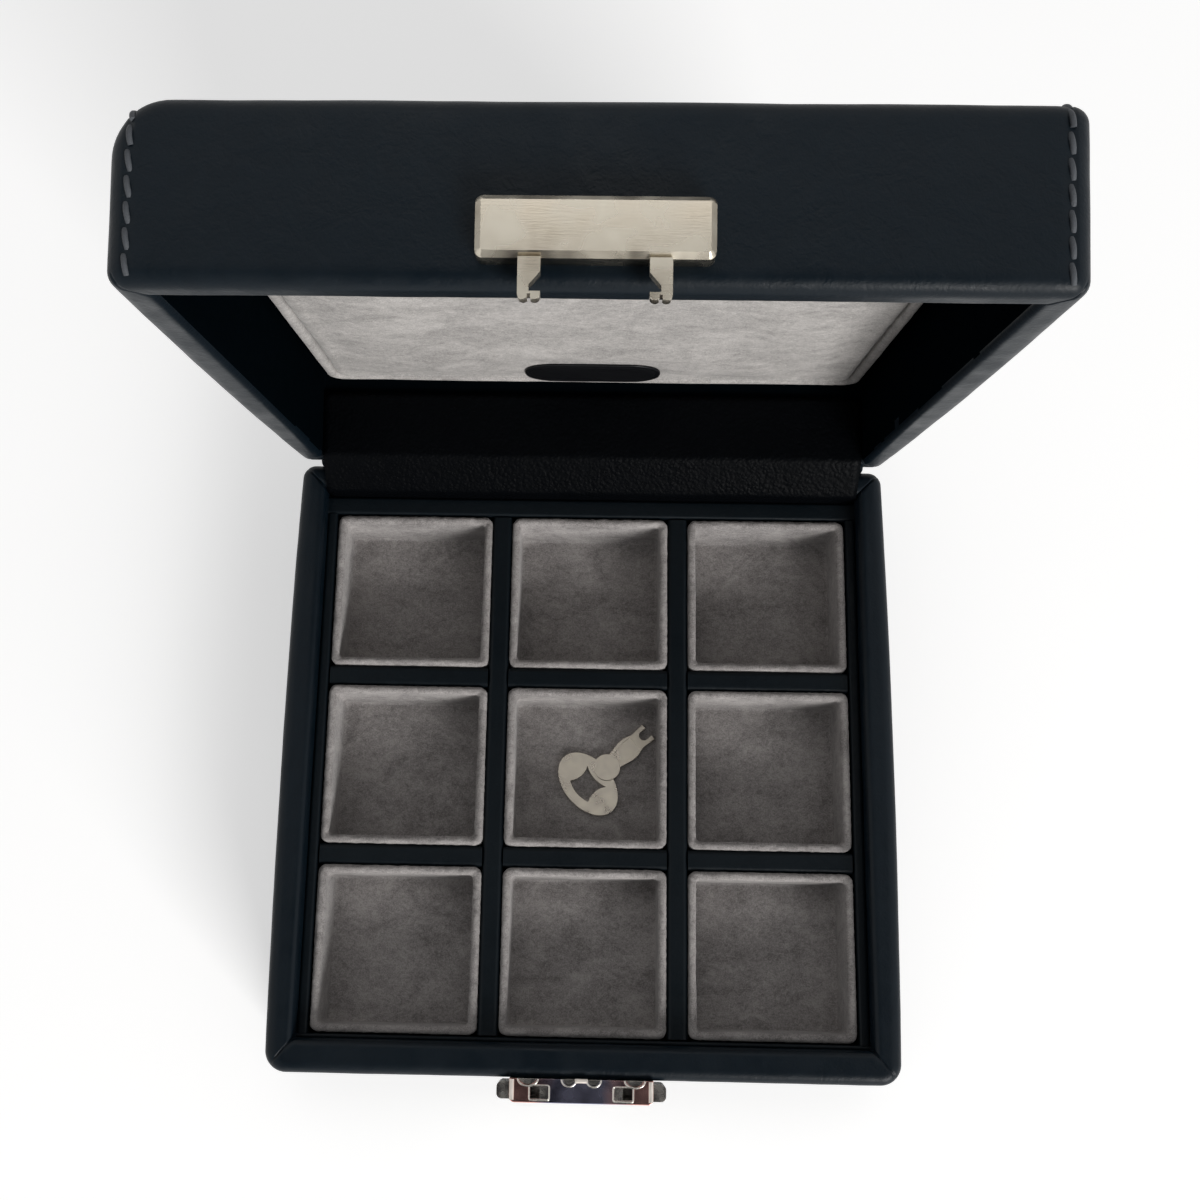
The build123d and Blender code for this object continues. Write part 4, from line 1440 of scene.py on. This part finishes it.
def lamp(name, place, target, size, power, colour=(1, 1, 1)):
    """A soft square lamp that faces a point."""
    data = bpy.data.lights.new(name, "AREA")
    data.shape = "RECTANGLE"
    data.size, data.size_y = size
    data.energy = power
    data.color = colour
    made = linked(name, data)
    made.location = place
    made.rotation_euler = (Vector(target) - Vector(place)).to_track_quat("-Z", "Y").to_euler()


def surroundings():
    """A pale room: white where it is seen or mirrored, softer where it lights."""
    world = bpy.data.worlds.new("room")
    bpy.context.scene.world = world
    world.use_nodes = True
    tree = world.node_tree
    back = tree.nodes["Background"]
    back.inputs["Color"].default_value = (1, 1, 1, 1)
    tree.links.new(spread(tree, shows(tree), 0.29, 1.0, 0.0, 1.0), back.inputs["Strength"])


def camera():
    """The photograph's view, fitted to the box's edges: close over the front, tipped back."""
    data = bpy.data.cameras.new("camera")
    data.sensor_width = 36
    data.lens = 41.922
    data.shift_x, data.shift_y = 0.03789, 0.02067
    pitch, yaw, roll = 0.23515, -0.02344, 0.01599
    ahead = Vector((0, sin(pitch), -cos(pitch)))
    up = Vector((0, cos(pitch), sin(pitch)))
    right = Vector((1, 0, 0))
    ahead, right = ahead * cos(yaw) + right * sin(yaw), right * cos(yaw) - ahead * sin(yaw)
    right, up = right * cos(roll) + up * sin(roll), up * cos(roll) - right * sin(roll)
    made = linked("camera", data)
    turn = Matrix((right, up, -ahead)).transposed().to_4x4()
    made.matrix_world = Matrix.Translation((-0.31 * mm, -48.54 * mm, 374.14 * mm)) @ turn
    bpy.context.scene.camera = made


floor()
dark_card("card_above", (-0.55, 1.1), (0.2, 1.1))
dark_card("card_before", (-1.1, 0.2), (-0.55, 1.1))
lamp("window", (1.10, -1.96, 0.89), (0, 0, 0.05), (1.1, 0.9), 57, (1, 0.99, 0.975))
lamp("ceiling", (0.0, 0.35, 1.1), (0, 0.05, 0), (0.5, 0.35), 0.5)
surroundings()
camera()
bpy.context.scene.view_settings.view_transform = "Standard"

boxes = {"cad": [list(c) for c in cad_box], "visual": [list(c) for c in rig.bounds()]}
with open("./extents.json", "w") as file:
    json.dump(boxes, file)
